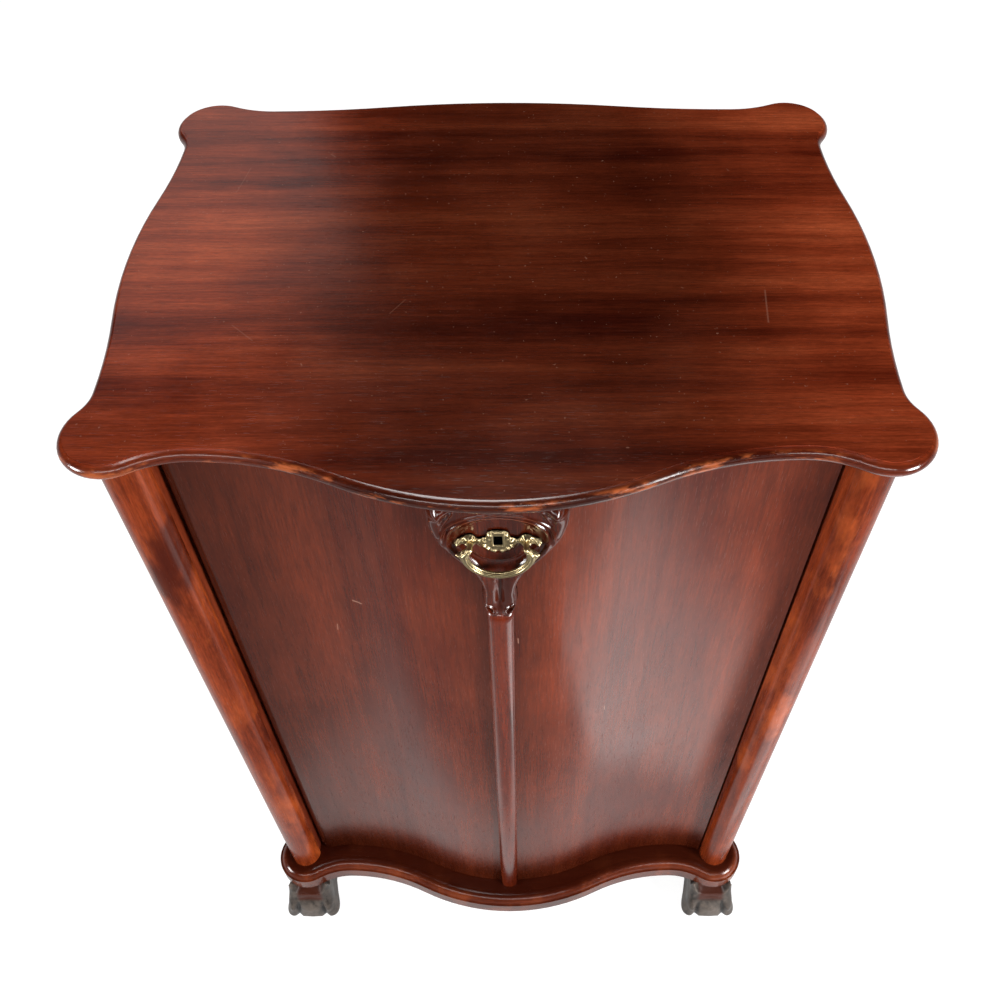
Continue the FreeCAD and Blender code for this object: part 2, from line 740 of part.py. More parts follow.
def collar(sx, y):
    """Turned ring between the base and a paw."""
    low = FOOT_H - COLLAR_H
    ring = [
        line(V(0, 0, low), V(COLLAR_R, 0, low)),
        Part.Arc(V(COLLAR_R, 0, low), V(COLLAR_R + COLLAR_BULGE, 0, low + COLLAR_H / 2),
                 V(COLLAR_R, 0, FOOT_H)).toShape(),
        line(V(COLLAR_R, 0, FOOT_H), V(0, 0, FOOT_H)),
        line(V(0, 0, FOOT_H), V(0, 0, low)),
    ]
    solid = Part.Face(Part.Wire(ring)).revolve(V(0, 0, 0), UP, 360)
    solid.translate(V(sx * EAR_X, y, 0))
    return solid.cut(peg(sx * EAR_X, y, low, FOOT_H, FOOT_DOWEL_R + FIT))


def paw_radius(angle, ring):
    """Plan point of a paw ring: a squared oval, swelling into toes along the front."""
    toes = math.cos(2 * math.pi * angle / TOE_SPREAD) if abs(angle) < TOE_REACH else 0.0
    swell = 1 + ring.toe * toes
    across = math.sin(angle)
    along = math.cos(angle)
    x = PAW_HALF_W * ring.wide * math.copysign(abs(across) ** PAW_SQUARE, across)
    reach = PAW_REACH * ring.front if along > 0 else PAW_HEEL * ring.heel
    y = -reach * math.copysign(abs(along) ** PAW_SQUARE, along)
    return x * swell, y * swell


def paw(sx, y):
    """Carved paw lofted through rings, toes to the front."""
    wires = []
    for ring in PAW_RINGS:
        points = []
        for i in range(PAW_POINTS):
            px, py = paw_radius(2 * math.pi * (i + 0.5) / PAW_POINTS - math.pi, ring)
            points.append(V(sx * (EAR_X + PAW_OUT * (1 - ring.rise)) + px, y + py, PAW_H * ring.rise))
        curve = Part.BSplineCurve()
        curve.interpolate(points, PeriodicFlag=True)
        wires.append(Part.Wire(curve.toShape()))
    foot = Part.makeLoft(wires, True, False)
    return foot.cut(peg(sx * EAR_X, y, FOOT_DOWEL[0], FOOT_H, FOOT_DOWEL_R + FIT))


# Pivots

def pivot_seat(z, toward):
    """Recess for a pivot plate, with room for the pin beyond it."""
    x, y = leaf_limits()
    recess = block(x, y, sorted((z, z + toward * LEAF_T)))
    deep = sorted((z, z + toward * (PIN_L + PIN_ROOM)))
    recess = recess.fuse(peg(PIVOT[0], PIVOT[1], deep[0], deep[1], PIN_R + SCREW_ROOM))
    for seat in leaf_screw_seats(z + toward * SMALL_SCREW.head_h):
        recess = recess.fuse(screw_hole(SMALL_SCREW, seat, UP * toward))
    return recess


def pivot_plate(z, toward):
    """Brass plate let into the case, bored for the pin and countersunk for two screws."""
    x, y = leaf_limits()
    plate = block(x, y, sorted((z, z + toward * LEAF_T)))
    plate = plate.cut(peg(PIVOT[0], PIVOT[1], z - LEAF_T, z + LEAF_T, PIN_R + RUN_FIT))
    return countersunk(plate, z, toward)


def countersunk(plate, z, toward):
    """Plate with room for two flush screws."""
    for seat in leaf_screw_seats(z + toward * SMALL_SCREW.head_h):
        plate = plate.cut(Part.makeCylinder(SMALL_SCREW.head_r + FIT, SMALL_SCREW.head_h, seat, UP * -toward))
        plate = plate.cut(screw_hole(SMALL_SCREW, seat, UP * toward))
    return plate


def pivot_leaf(z, toward, shouldered):
    """Brass leaf let into the edge of the door, with its pin standing out along toward."""
    x, y = leaf_limits()
    leaf = block(x, y, sorted((z, z - toward * LEAF_T)))
    tip = sorted((z - toward * LEAF_T, z + toward * (DOOR_GAP + PIN_L)))
    leaf = leaf.fuse(peg(PIVOT[0], PIVOT[1], tip[0], tip[1], PIN_R))
    if shouldered:
        rest = sorted((z, z + toward * (DOOR_GAP - RUN_GAP)))
        leaf = leaf.fuse(peg(PIVOT[0], PIVOT[1], rest[0], rest[1], SHOULDER_R))
    return countersunk(leaf.removeSplitter(), z, -toward)


def pivot_screws(levels):
    """Flush screws at several levels, each with its direction."""
    screws = []
    for z, toward in levels:
        for seat in leaf_screw_seats(z + toward * SMALL_SCREW.head_h):
            screws.append(screw(SMALL_SCREW, seat, UP * toward))
    return group(screws)


# Door

def door_blank():
    """Serpentine door with a rounded hinge edge about its pivot."""
    ux, uy = unit(PIVOT_X - CHEEK.x, PIVOT[1] - CHEEK.y)
    faces = {}
    for inset in (DOOR_SET, DOOR_SET + DOOR_T):
        r = CHEEK.r + inset
        free_y = CHEEK.y + math.sqrt(r * r - (FREE_X - CHEEK.x) ** 2)
        points = {-1: (CHEEK.x + r * ux, CHEEK.y + r * uy), 1: (FREE_X, free_y)}
        apex = (0, FRONT_Y + inset)
        right = chain([APEX, DIP, CHEEK], apex, points[1], inset)
        left = [mirrored(e) for e in chain([APEX, DIP, CHEEK], apex, points[-1], inset)]
        faces[inset] = (left + right, points)
    front, front_ends = faces[DOOR_SET]
    back, back_ends = faces[DOOR_SET + DOOR_T]
    free_edge = line(V(*front_ends[1], 0), V(*back_ends[1], 0))
    tip = V(PIVOT[0] - uy * DOOR_T / 2, PIVOT[1] - ux * DOOR_T / 2, 0)
    hinge_front = V(-front_ends[-1][0], front_ends[-1][1], 0)
    hinge_back = V(-back_ends[-1][0], back_ends[-1][1], 0)
    hinge_edge = Part.Arc(hinge_front, tip, hinge_back).toShape()
    wire = Part.Wire(Part.__sortEdges__(front + back + [free_edge, hinge_edge]))
    wire.translate(V(0, 0, DOOR_Z[0]))
    return Part.Face(wire).extrude(V(0, 0, DOOR_Z[1] - DOOR_Z[0]))


def keyhole(start, end, grow):
    """Keyhole cutter between two depths."""
    hole = rod(0, KEY_Z, start, end, KEY_R + grow)
    half = KEY_SLOT_W / 2 + grow
    return hole.fuse(block((-half, half), (start, end), (KEY_Z - KEY_DROP - grow, KEY_Z))).removeSplitter()


def bead_solid(grow):
    """Half-round bead, with its lower end, or its groove when grown."""
    half = BEAD_W / 2 + grow
    seat = DOOR_APEX + BEAD_SEAT
    shoulder = DOOR_APEX - BEAD_SIDE
    crown = DOOR_APEX - BEAD_PROUD
    section = [
        line(V(-half, seat, 0), V(-half, shoulder, 0)),
        Part.Arc(V(-half, shoulder, 0), V(0, crown, 0), V(half, shoulder, 0)).toShape(),
        line(V(half, shoulder, 0), V(half, seat, 0)),
        line(V(half, seat, 0), V(-half, seat, 0)),
    ]
    low = DOOR_Z[0] - grow
    face = Part.Face(Part.Wire(section))
    face.translate(V(0, 0, low))
    return face.extrude(V(0, 0, CARTOUCHE_BOTTOM - low))


def centre_bead():
    """Half-round bead down the middle of the door, its lower end sloped away."""
    bead = bead_solid(0)
    low = DOOR_Z[0]
    ramp = [
        V(-BEAD_W, FRONT_Y, low), V(-BEAD_W, DOOR_APEX - BEAD_SIDE, low),
        V(-BEAD_W, CARTOUCHE_FACE, low + BEAD_END), V(-BEAD_W, FRONT_Y, low + BEAD_END),
    ]
    wedge = Part.Face(Part.makePolygon(ramp + ramp[:1])).extrude(V(2 * BEAD_W, 0, 0))
    return bead.cut(wedge)


def closed_side(points, top, y, grow):
    """Mirror-symmetric outline in an upright plane from the points of its right side."""
    right = [V(x + grow, y, top - drop) for x, drop in points]
    left = [V(-p.x, p.y, p.z) for p in right]
    edges = [spline(right), spline(left)]
    if right[0].x > 0:
        edges.append(line(left[0], right[0]))
    if right[-1].x > 0:
        edges.append(line(left[-1], right[-1]))
    return Part.Face(Part.Wire(Part.__sortEdges__(edges)))


def cartouche_blank(grow, start, end):
    """Cartouche outline carried from one depth to another."""
    face = closed_side(CARTOUCHE_SIDE, CARTOUCHE_TOP, start, grow)
    return face.extrude(V(0, end - start, 0))


def cartouche():
    """Carved cartouche: rounded rim, dished ground, corner knobs, flute and two scroll eyes."""
    body = cartouche_blank(0, CARTOUCHE_BACK, CARTOUCHE_FACE)
    rim = [e for e in body.Edges if all(abs(v.Y - CARTOUCHE_FACE) < FIT for v in e.Vertexes)]
    curved = [e for e in rim if e.Curve.TypeId == "Part::GeomBSplineCurve"]
    body = body.makeFillet(RIM_ROUND, curved)
    knob_z = CARTOUCHE_TOP - KNOB_DROP
    knobs = [Part.makeSphere(KNOB_R, V(sx * KNOB_X, CARTOUCHE_FACE, knob_z)) for sx in (-1, 1)]
    back_limit = block((-WIDTH, WIDTH), (CARTOUCHE_BACK, REAR_Y), (0, HEIGHT))
    body = body.multiFuse(knobs).cut(back_limit)
    dish = closed_side(DISH_SIDE, CARTOUCHE_TOP, GROUND_Y, 0).extrude(V(0, -2 * DISH_DEEP, 0))
    body = body.cut(dish)
    flute = [CARTOUCHE_TOP - drop for drop in FLUTE_DROP]
    body = body.cut(peg(0, CARTOUCHE_FACE, flute[1], flute[0], FLUTE_R))
    for sx in (-1, 1):
        z = CARTOUCHE_TOP - EYELET_DROP
        body = body.cut(rod(sx * EYELET_X, z, CARTOUCHE_FACE, CARTOUCHE_FACE + EYELET_DEEP, EYELET_R))
        body = body.cut(rod(sx * POST_X, PULL_Z, GROUND_Y, CARTOUCHE_BACK, PULL_POST_R + FIT))
    return body.cut(keyhole(GROUND_Y, CARTOUCHE_BACK, 0))


def door_panel():
    """Door with seats for the cartouche, bead, pivots, lock and pull."""
    door = door_blank()
    door = door.cut(cartouche_blank(SEAT_FIT, CARTOUCHE_BACK, FRONT_Y))
    door = door.cut(bead_solid(SEAT_FIT))
    x, y = leaf_limits()
    for z, toward in ((DOOR_Z[0], -1), (DOOR_Z[1], 1)):
        door = door.cut(block(x, y, sorted((z, z - toward * LEAF_T))))
        for seat in leaf_screw_seats(z - toward * SMALL_SCREW.head_h):
            door = door.cut(screw_hole(SMALL_SCREW, seat, UP * -toward))
    half = (-LOCK_HALF_W - FIT, LOCK_HALF_W + FIT)
    door = door.cut(block(half, (LOCK_FACE_Y, REBATE_Y), (LOCK_Z - FIT, DOOR_Z[1])))
    door = door.cut(block(half, (LOCK_BACK_Y, REBATE_Y), (LOCK_Z - CAP_TAB - FIT, DOOR_Z[1])))
    for seat in cap_screw_seats():
        door = door.cut(screw_hole(SMALL_SCREW, seat, OUT_FRONT))
    for sx in (-1, 1):
        door = door.cut(rod(sx * POST_X, PULL_Z, CARTOUCHE_BACK, REBATE_Y, PULL_POST_R + FIT))
        door = door.cut(rod(sx * POST_X, PULL_Z, NUT_SEAT_Y, REBATE_Y, NUT_SEAT_R))
    return door.cut(keyhole(CARTOUCHE_BACK, LOCK_FACE_Y, 0))


# Pull

def pull_plate():
    """Pierced scroll plate with a raised lip round the keyhole."""
    top = PULL_Z + PLATE_SIDE[0][1]
    side = [(x, PLATE_SIDE[0][1] - z) for x, z in PLATE_SIDE]
    plate = closed_side(side, top, GROUND_Y, 0).extrude(V(0, -PLATE_T, 0))
    lip = keyhole(PLATE_FACE - KEY_LIP_T, PLATE_FACE, KEY_LIP)
    plate = plate.fuse(lip).removeSplitter()
    plate = plate.cut(keyhole(PLATE_FACE - KEY_LIP_T, GROUND_Y, 0))
    for sx in (-1, 1):
        plate = plate.cut(rod(sx * POST_X, PULL_Z, PLATE_FACE, GROUND_Y, PULL_POST_R + FIT))
    return plate


def pull_posts():
    """Pair of posts with bored round heads, screwed through the door."""
    posts = []
    for sx in (-1, 1):
        head = rod(sx * POST_X, PULL_Z, PLATE_FACE - PULL_HEAD_L, PLATE_FACE, PULL_HEAD_R)
        tip = [e for e in head.Edges if all(v.Y < BAIL_Y for v in e.Vertexes) and e.Length > PULL_HEAD_R * 6]
        head = head.makeFillet(PULL_HEAD_R / 2, tip)
        shank = rod(sx * POST_X, PULL_Z, PLATE_FACE, NUT_SEAT_Y + NUT_T, PULL_POST_R)
        bore = Part.makeCylinder(
            BAIL_PIN_R + RUN_FIT, 2 * BAIL_X, V(sx * POST_X - BAIL_X, BAIL_Y, PULL_Z), V(1, 0, 0))
        posts.append(head.fuse(shank).removeSplitter().cut(bore))
    return group(posts)


def post_nuts():
    """Round nuts of the pull posts behind the door."""
    nuts = []
    for sx in (-1, 1):
        nut = rod(sx * POST_X, PULL_Z, NUT_SEAT_Y, NUT_SEAT_Y + NUT_T, NUT_R)
        nuts.append(nut.cut(rod(sx * POST_X, PULL_Z, NUT_SEAT_Y, NUT_SEAT_Y + NUT_T, PULL_POST_R + FIT)))
    return group(nuts)


def pull_bail():
    """Hanging bail: a round bar bent to a half ring with two arms, and pins that turn in the posts."""
    bend_z = PULL_Z - BAIL_DROP
    ends = [V(sx * BAIL_X, BAIL_Y, PULL_Z) for sx in (1, -1)]
    bends = [V(sx * BAIL_X, BAIL_Y, bend_z) for sx in (1, -1)]
    lowest = V(0, BAIL_Y, bend_z - BAIL_X)
    path = Part.Wire([
        line(ends[0], bends[0]), Part.Arc(bends[0], lowest, bends[1]).toShape(), line(bends[1], ends[1]),
    ])
    bar = Part.Wire(Part.Circle(ends[0], UP, BAIL_HALF).toShape())
    bail = path.makePipeShell([bar], True, False)
    inner = POST_X - PULL_HEAD_R + FIT
    eye = Part.makeCylinder(BAIL_EYE_R, 2 * BAIL_HALF, V(BAIL_X - BAIL_HALF, BAIL_Y, PULL_Z), V(1, 0, 0))
    pin = Part.makeCylinder(BAIL_PIN_R, BAIL_X - inner, V(inner, BAIL_Y, PULL_Z), V(1, 0, 0))
    return bail.multiFuse([on_side(piece, sx) for piece in (eye, pin) for sx in (-1, 1)])


# Lock

def bolt_room(low, high):
    """Passage for the bolt with its guide clearance."""
    half = BOLT_HALF_W + BOLT_GUIDE
    return block((-half, half), (BOLT_Y[0] - BOLT_GUIDE, BOLT_Y[1] + BOLT_GUIDE), (low, high))


def lock_case():
    """Open-backed case with a keyhole and a passage for the bolt."""
    half = (-LOCK_HALF_W, LOCK_HALF_W)
    case = block(half, (LOCK_FACE_Y, LOCK_BACK_Y), (LOCK_Z, DOOR_Z[1]))
    room = LOCK_HALF_W - LOCK_WALL
    inside = (LOCK_Z + LOCK_WALL, DOOR_Z[1] - LOCK_WALL)
    case = case.cut(block((-room, room), (LOCK_FACE_Y + LOCK_WALL, LOCK_BACK_Y), inside))
    case = case.cut(bolt_room(inside[1], DOOR_Z[1]))
    return case.cut(keyhole(LOCK_FACE_Y, LOCK_FACE_Y + LOCK_WALL, 0))


def lock_cap():
    """Flat cap with a tab for two screws."""
    half = (-LOCK_HALF_W, LOCK_HALF_W)
    cap = block(half, (LOCK_BACK_Y, LOCK_BACK_Y + CAP_T), (LOCK_Z - CAP_TAB, DOOR_Z[1]))
    for seat in cap_screw_seats():
        cap = cap.cut(screw_hole(SMALL_SCREW, seat, OUT_FRONT))
    return cap


def lock_bolt():
    """Upright bolt with a talon at its lower end, shown drawn back."""
    top = DOOR_Z[1] - BOLT_SHY
    half = (-BOLT_HALF_W, BOLT_HALF_W)
    bolt = block(half, BOLT_Y, (top - BOLT_L, top))
    return bolt.cut(rod(0, top - BOLT_L, BOLT_Y[0], BOLT_Y[1], TALON_R))


def lock_spring():
    """Leaf spring from the case wall to the side of the bolt."""
    wall = LOCK_HALF_W - LOCK_WALL
    near = BOLT_HALF_W + FIT
    foot = LOCK_Z + LOCK_WALL + SPRING_FOOT
    reach = wall - near - SPRING_T
    radius = wave_radius(SPRING_RISE, reach)
    low = foot - SPRING_FOOT / 2
    high = foot + SPRING_RISE
    plan = [
        line(V(wall, 0, low), V(wall, 0, foot)), leaf_arc(wall, foot, radius),
        line(V(near, 0, high), V(near + SPRING_T, 0, high)), leaf_arc(wall - SPRING_T, foot, radius),
        line(V(wall - SPRING_T, 0, foot), V(wall - SPRING_T, 0, low)),
        line(V(wall - SPRING_T, 0, low), V(wall, 0, low)),
    ]
    face = Part.Face(Part.Wire(Part.__sortEdges__(plan)))
    face.translate(V(0, BOLT_Y[0] + BOLT_GUIDE, 0))
    return face.extrude(V(0, BOLT_Y[1] - BOLT_Y[0] - 2 * BOLT_GUIDE, 0))


def leaf_arc(x, z, radius):
    """Arc that leaves the wall upright and bends towards the bolt."""
    turn = math.asin(SPRING_RISE / radius)
    points = [V(x - radius * (1 - math.cos(a)), 0, z + radius * math.sin(a)) for a in (0, turn / 2, turn)]
    return Part.Arc(*points).toShape()


def strike_blank(z):
    """Strike plate before it is pierced."""
    y = (BOLT_Y[0] - STRIKE_T, BOLT_Y[1] + STRIKE_T)
    return block((-STRIKE_HALF_L, STRIKE_HALF_L), y, (z, z + STRIKE_T))


def strike_plate():
    """Brass strike let into the top, slotted for the bolt."""
    half = BOLT_HALF_W + STRIKE_ROOM
    slot = block((-half, half), (BOLT_Y[0] - STRIKE_ROOM, BOLT_Y[1] + STRIKE_ROOM), (TOP_UNDER, HEIGHT))
    plate = strike_blank(TOP_UNDER).cut(slot)
    for seat in strike_screw_seats():
        plate = plate.cut(Part.makeCylinder(SMALL_SCREW.head_r + FIT, SMALL_SCREW.head_h, seat, UP * -1))
        plate = plate.cut(screw_hole(SMALL_SCREW, seat, UP))
    return plate


def screws(kind, seats, along):
    """Group of like screws."""
    return group([screw(kind, seat, along) for seat in seats])


def build():
    """All pieces by name."""
    key_pin_end = LOCK_FACE_Y + LOCK_WALL - FIT
    nodes = {
        "top_board": top_board(),
        "base_frame": base_frame(),
        "floor_board": grooved(floor_blank(), BASE_TOP, -1),
        "back_panel": back_panel(),
        "back_screws": screws(BIG_SCREW, back_screw_seats(), OUT_FRONT),
        "top_cleats": top_cleats(),
        "top_screws": screws(BIG_SCREW, top_screw_seats(), UP),
        "post_dowels": group(post_dowels()),
        "shelf_cleats": group(cleats(SHELF_Z)),
        "middle_shelf": middle_shelf(),
        "lower_dividers": dividers(BASE_TOP, SHELF_Z),
        "upper_dividers": dividers(SHELF_Z + SHELF_T, TOP_UNDER),
        "door_stop": door_stop(),
        "upper_pivot_plate": pivot_plate(TOP_UNDER, 1),
        "lower_pivot_plate": pivot_plate(BASE_TOP, -1),
        "pivot_plate_screws": pivot_screws([(TOP_UNDER, 1), (BASE_TOP, -1)]),
        "strike_plate": strike_plate(),
        "strike_screws": screws(SMALL_SCREW, strike_screw_seats(), UP),
        "ankle_collars": group([collar(sx, y) for sx, _, y in CORNERS]),
        "foot_dowels": group(
            [peg(sx * EAR_X, y, FOOT_DOWEL[0], FOOT_DOWEL[1], FOOT_DOWEL_R) for sx, _, y in CORNERS]),
        "door_panel": door_panel(),
        "centre_bead": centre_bead(),
        "cartouche": cartouche(),
        "upper_pivot_leaf": pivot_leaf(DOOR_Z[1], 1, False),
        "lower_pivot_leaf": pivot_leaf(DOOR_Z[0], -1, True),
        "pivot_leaf_screws": pivot_screws([(DOOR_Z[1], -1), (DOOR_Z[0], 1)]),
        "lock_case": lock_case(),
        "lock_cap": lock_cap(),
        "lock_key_pin": rod(0, KEY_Z, key_pin_end, LOCK_BACK_Y, KEY_PIN_R),
        "lock_spring": lock_spring(),
        "lock_screws": screws(SMALL_SCREW, cap_screw_seats(), OUT_FRONT),
        "lock_bolt": lock_bolt(),
        "pull_plate": pull_plate(),
        "pull_posts": pull_posts(),
        "post_nuts": post_nuts(),
        "pull_bail": pull_bail(),
    }
    for sx, name, y in CORNERS:
        place = name + "_" + SIDE_NAME[sx]
        nodes[place + "_column"] = column(sx, y, 1 if name == "front" else -1)
        nodes[place + "_post"] = post(sx, name)
        nodes[place + "_paw"] = paw(sx, y)
    for sx, name in SIDE_NAME.items():
        nodes[name + "_side_panel"] = side_panel(sx)
    return nodes


def main():
    """Build every piece and write it."""
    os.makedirs("parts", exist_ok=True)
    for name, shape in build().items():
        if not shape.isValid():
            print("not valid:", name)
        shape.exportStep(os.path.join("parts", name + ".step"))


main()
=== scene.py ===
"""Dresses the serpentine record cabinet: timber and brass finishes, carved and cast pieces, and a studio."""

from __future__ import annotations

import logging
import math
from dataclasses import dataclass
from enum import Enum
from typing import Optional, Sequence, Union

import bmesh
import bpy
import numpy as np
from mathutils import Matrix


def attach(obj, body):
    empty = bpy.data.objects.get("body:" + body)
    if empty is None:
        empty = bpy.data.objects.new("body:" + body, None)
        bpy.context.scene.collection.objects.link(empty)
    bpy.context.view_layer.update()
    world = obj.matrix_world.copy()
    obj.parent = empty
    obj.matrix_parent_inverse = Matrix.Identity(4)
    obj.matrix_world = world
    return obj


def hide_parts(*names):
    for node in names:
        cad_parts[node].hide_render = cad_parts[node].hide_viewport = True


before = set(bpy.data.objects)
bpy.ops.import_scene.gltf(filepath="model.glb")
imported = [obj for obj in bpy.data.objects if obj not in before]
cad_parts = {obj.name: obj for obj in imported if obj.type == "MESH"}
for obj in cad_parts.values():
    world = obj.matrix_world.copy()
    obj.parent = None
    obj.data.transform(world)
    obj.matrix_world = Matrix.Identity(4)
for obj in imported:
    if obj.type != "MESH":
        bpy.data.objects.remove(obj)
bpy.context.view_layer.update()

LOG = logging.getLogger("record_cabinet")
MM = 0.001
TOP_LEVEL = 0.870
ANKLE_X, FRONT_ANKLE_Y, REAR_ANKLE_Y = 251.0, -170.3, 197.0
Colour = tuple[float, float, float]
Point = tuple[float, float, float]
Stroke = tuple[Point, Point, float, float]
Shade = tuple[float, float, float]
Value = Union[float, Sequence[float], bpy.types.NodeSocket]


class Grain(Enum):
    """Direction of the wood fibres, as the stretch of the pattern along X, Y and Z."""

    ACROSS = (0.055, 1.0, 1.0)
    DEEP = (1.0, 0.055, 1.0)
    UPRIGHT = (1.0, 1.0, 0.055)


class Face(Enum):
    """Plane in which a scratch is drawn, as the weights of X, Y and Z in its distances."""

    LEVEL = (1.0, 1.0, 0.0)
    FRONT = (1.0, 0.0, 1.0)


class Graph:
    """Node tree of one material, with short helpers for the nodes that the finishes use."""

    def __init__(self, name: str) -> None:
        """Start an empty material called name."""
        self.material = bpy.data.materials.new(name)
        self.material.use_nodes = True
        self.tree = self.material.node_tree
        self.tree.nodes.clear()
        self.place = self.node("ShaderNodeTexCoord").outputs["Object"]

    def node(self, kind: str, inputs: Optional[dict] = None, **settings: object) -> bpy.types.Node:
        """Add a node.

        Args:
            kind: Blender's name of the node type.
            inputs: Input name or index to a constant or a socket.
            settings: Properties of the node itself.

        Returns:
            The new node.
        """
        made = self.tree.nodes.new(kind)
        for key, value in settings.items():
            setattr(made, key, value)
        for key, value in (inputs or {}).items():
            if isinstance(value, bpy.types.NodeSocket):
                self.tree.links.new(value, made.inputs[key])
            else:
                made.inputs[key].default_value = value
        return made

    def mapped(self, scale: Sequence[float], shift: Sequence[float] = (0, 0, 0)) -> bpy.types.NodeSocket:
        """Object coordinates scaled and then shifted."""
        made = self.node("ShaderNodeMapping", {"Vector": self.place, "Scale": scale, "Location": shift})
        return made.outputs[0]

    def axis(self, index: int) -> bpy.types.NodeSocket:
        """One object coordinate, in metres."""
        return self.node("ShaderNodeSeparateXYZ", {0: self.place}).outputs[index]

    def noise(self, vector: Value, scale: float, detail: float = 4.0, rough: float = 0.55,
              distort: float = 0.0) -> bpy.types.NodeSocket:
        """Cloudy noise from 0 to 1.

        Args:
            vector: Coordinates.
            scale: Features per metre.
            detail: Octaves.
            rough: Weight of the finer octaves.
            distort: Warp of the coordinates.

        Returns:
            The noise value.
        """
        made = self.node("ShaderNodeTexNoise", {
            "Vector": vector, "Scale": scale, "Detail": detail, "Roughness": rough, "Distortion": distort})
        return made.outputs[0]

    def calc(self, operation: str, a: Value, b: Value = 0.0, c: Value = 0.0) -> bpy.types.NodeSocket:
        """One arithmetic step."""
        return self.node("ShaderNodeMath", {0: a, 1: b, 2: c}, operation=operation).outputs[0]

    def span(self, value: Value, low: float, high: float, to_low: float = 0.0,
             to_high: float = 1.0) -> bpy.types.NodeSocket:
        """Smooth step of a value from one range to another.

        Args:
            value: What is mapped.
            low: Value that gives to_low.
            high: Value that gives to_high.
            to_low: Result at and below low.
            to_high: Result at and above high.

        Returns:
            The mapped value.
        """
        made = self.node("ShaderNodeMapRange", {0: value, 1: low, 2: high, 3: to_low, 4: to_high},
                         interpolation_type="SMOOTHSTEP")
        return made.outputs[0]

    def ramp(self, value: Value, stops: Sequence[tuple[float, Colour]]) -> bpy.types.NodeSocket:
        """Colour ramp through stops of place and colour."""
        made = self.node("ShaderNodeValToRGB", {0: value})
        steps = made.color_ramp.elements
        while len(steps) < len(stops):
            steps.new(0.5)
        for step, (at, colour) in zip(steps, stops):
            step.position = at
            step.color = (*colour, 1.0)
        return made.outputs[0]

    def blend(self, amount: Value, a: Value, b: Value, mode: str = "MIX") -> bpy.types.NodeSocket:
        """Mix two colours by an amount."""
        made = self.node("ShaderNodeMix", data_type="RGBA", blend_type=mode)
        for key, value in ((0, amount), (6, a), (7, b)):
            if isinstance(value, bpy.types.NodeSocket):
                self.tree.links.new(value, made.inputs[key])
            elif key == 0:
                made.inputs[0].default_value = value
            else:
                made.inputs[key].default_value = (*value[:3], 1.0)
        return made.outputs[2]

    def tint(self, colour: Value, factor: Value) -> bpy.types.NodeSocket:
        """Colour made lighter or darker by a factor."""
        grey = self.node("ShaderNodeCombineColor", {0: factor, 1: factor, 2: factor}).outputs[0]
        return self.blend(1.0, colour, grey, "MULTIPLY")

    def bump(self, height: Value, strength: float, distance: float) -> bpy.types.NodeSocket:
        """Normal disturbed by a height in units of distance."""
        return self.node("ShaderNodeBump", {
            "Height": height, "Strength": strength, "Distance": distance}).outputs[0]

    def scratch(self, start: Point, end: Point, width: float, face: Face) -> bpy.types.NodeSocket:
        """Mask of a thin mark along a straight stroke on a face.

        The distance from a point p to the stroke a-b is |p - a - t (b - a)|, with t its clamped share.

        Args:
            start: First end of the stroke, in metres.
            end: Other end of the stroke.
            width: Half width of the mark.
            face: Plane in which distances count.

        Returns:
            1 on the stroke, 0 away from it.
        """
        flat = face.value
        along = [(e - s) * w for s, e, w in zip(start, end, flat)]
        squared = sum(step * step for step in along)
        origin = [-s * w for s, w in zip(start, flat)]
        offset = self.mapped(flat, origin)
        dot = self.node("ShaderNodeVectorMath", {0: offset, 1: along}, operation="DOT_PRODUCT")
        share = self.node("ShaderNodeMath", {0: dot.outputs["Value"], 1: 1.0 / squared}, operation="MULTIPLY",
                          use_clamp=True)
        foot = self.node("ShaderNodeVectorMath", {0: along, "Scale": share.outputs[0]}, operation="SCALE")
        gap = self.node("ShaderNodeVectorMath", {0: offset, 1: foot.outputs[0]}, operation="DISTANCE")
        return self.span(gap.outputs["Value"], 0.0, width, 1.0, 0.0)

    def shade(self, inputs: dict) -> bpy.types.Material:
        """Close the tree with a Principled shader."""
        shader = self.node("ShaderNodeBsdfPrincipled", inputs)
        out = self.node("ShaderNodeOutputMaterial")
        self.tree.links.new(shader.outputs[0], out.inputs[0])
        return self.material


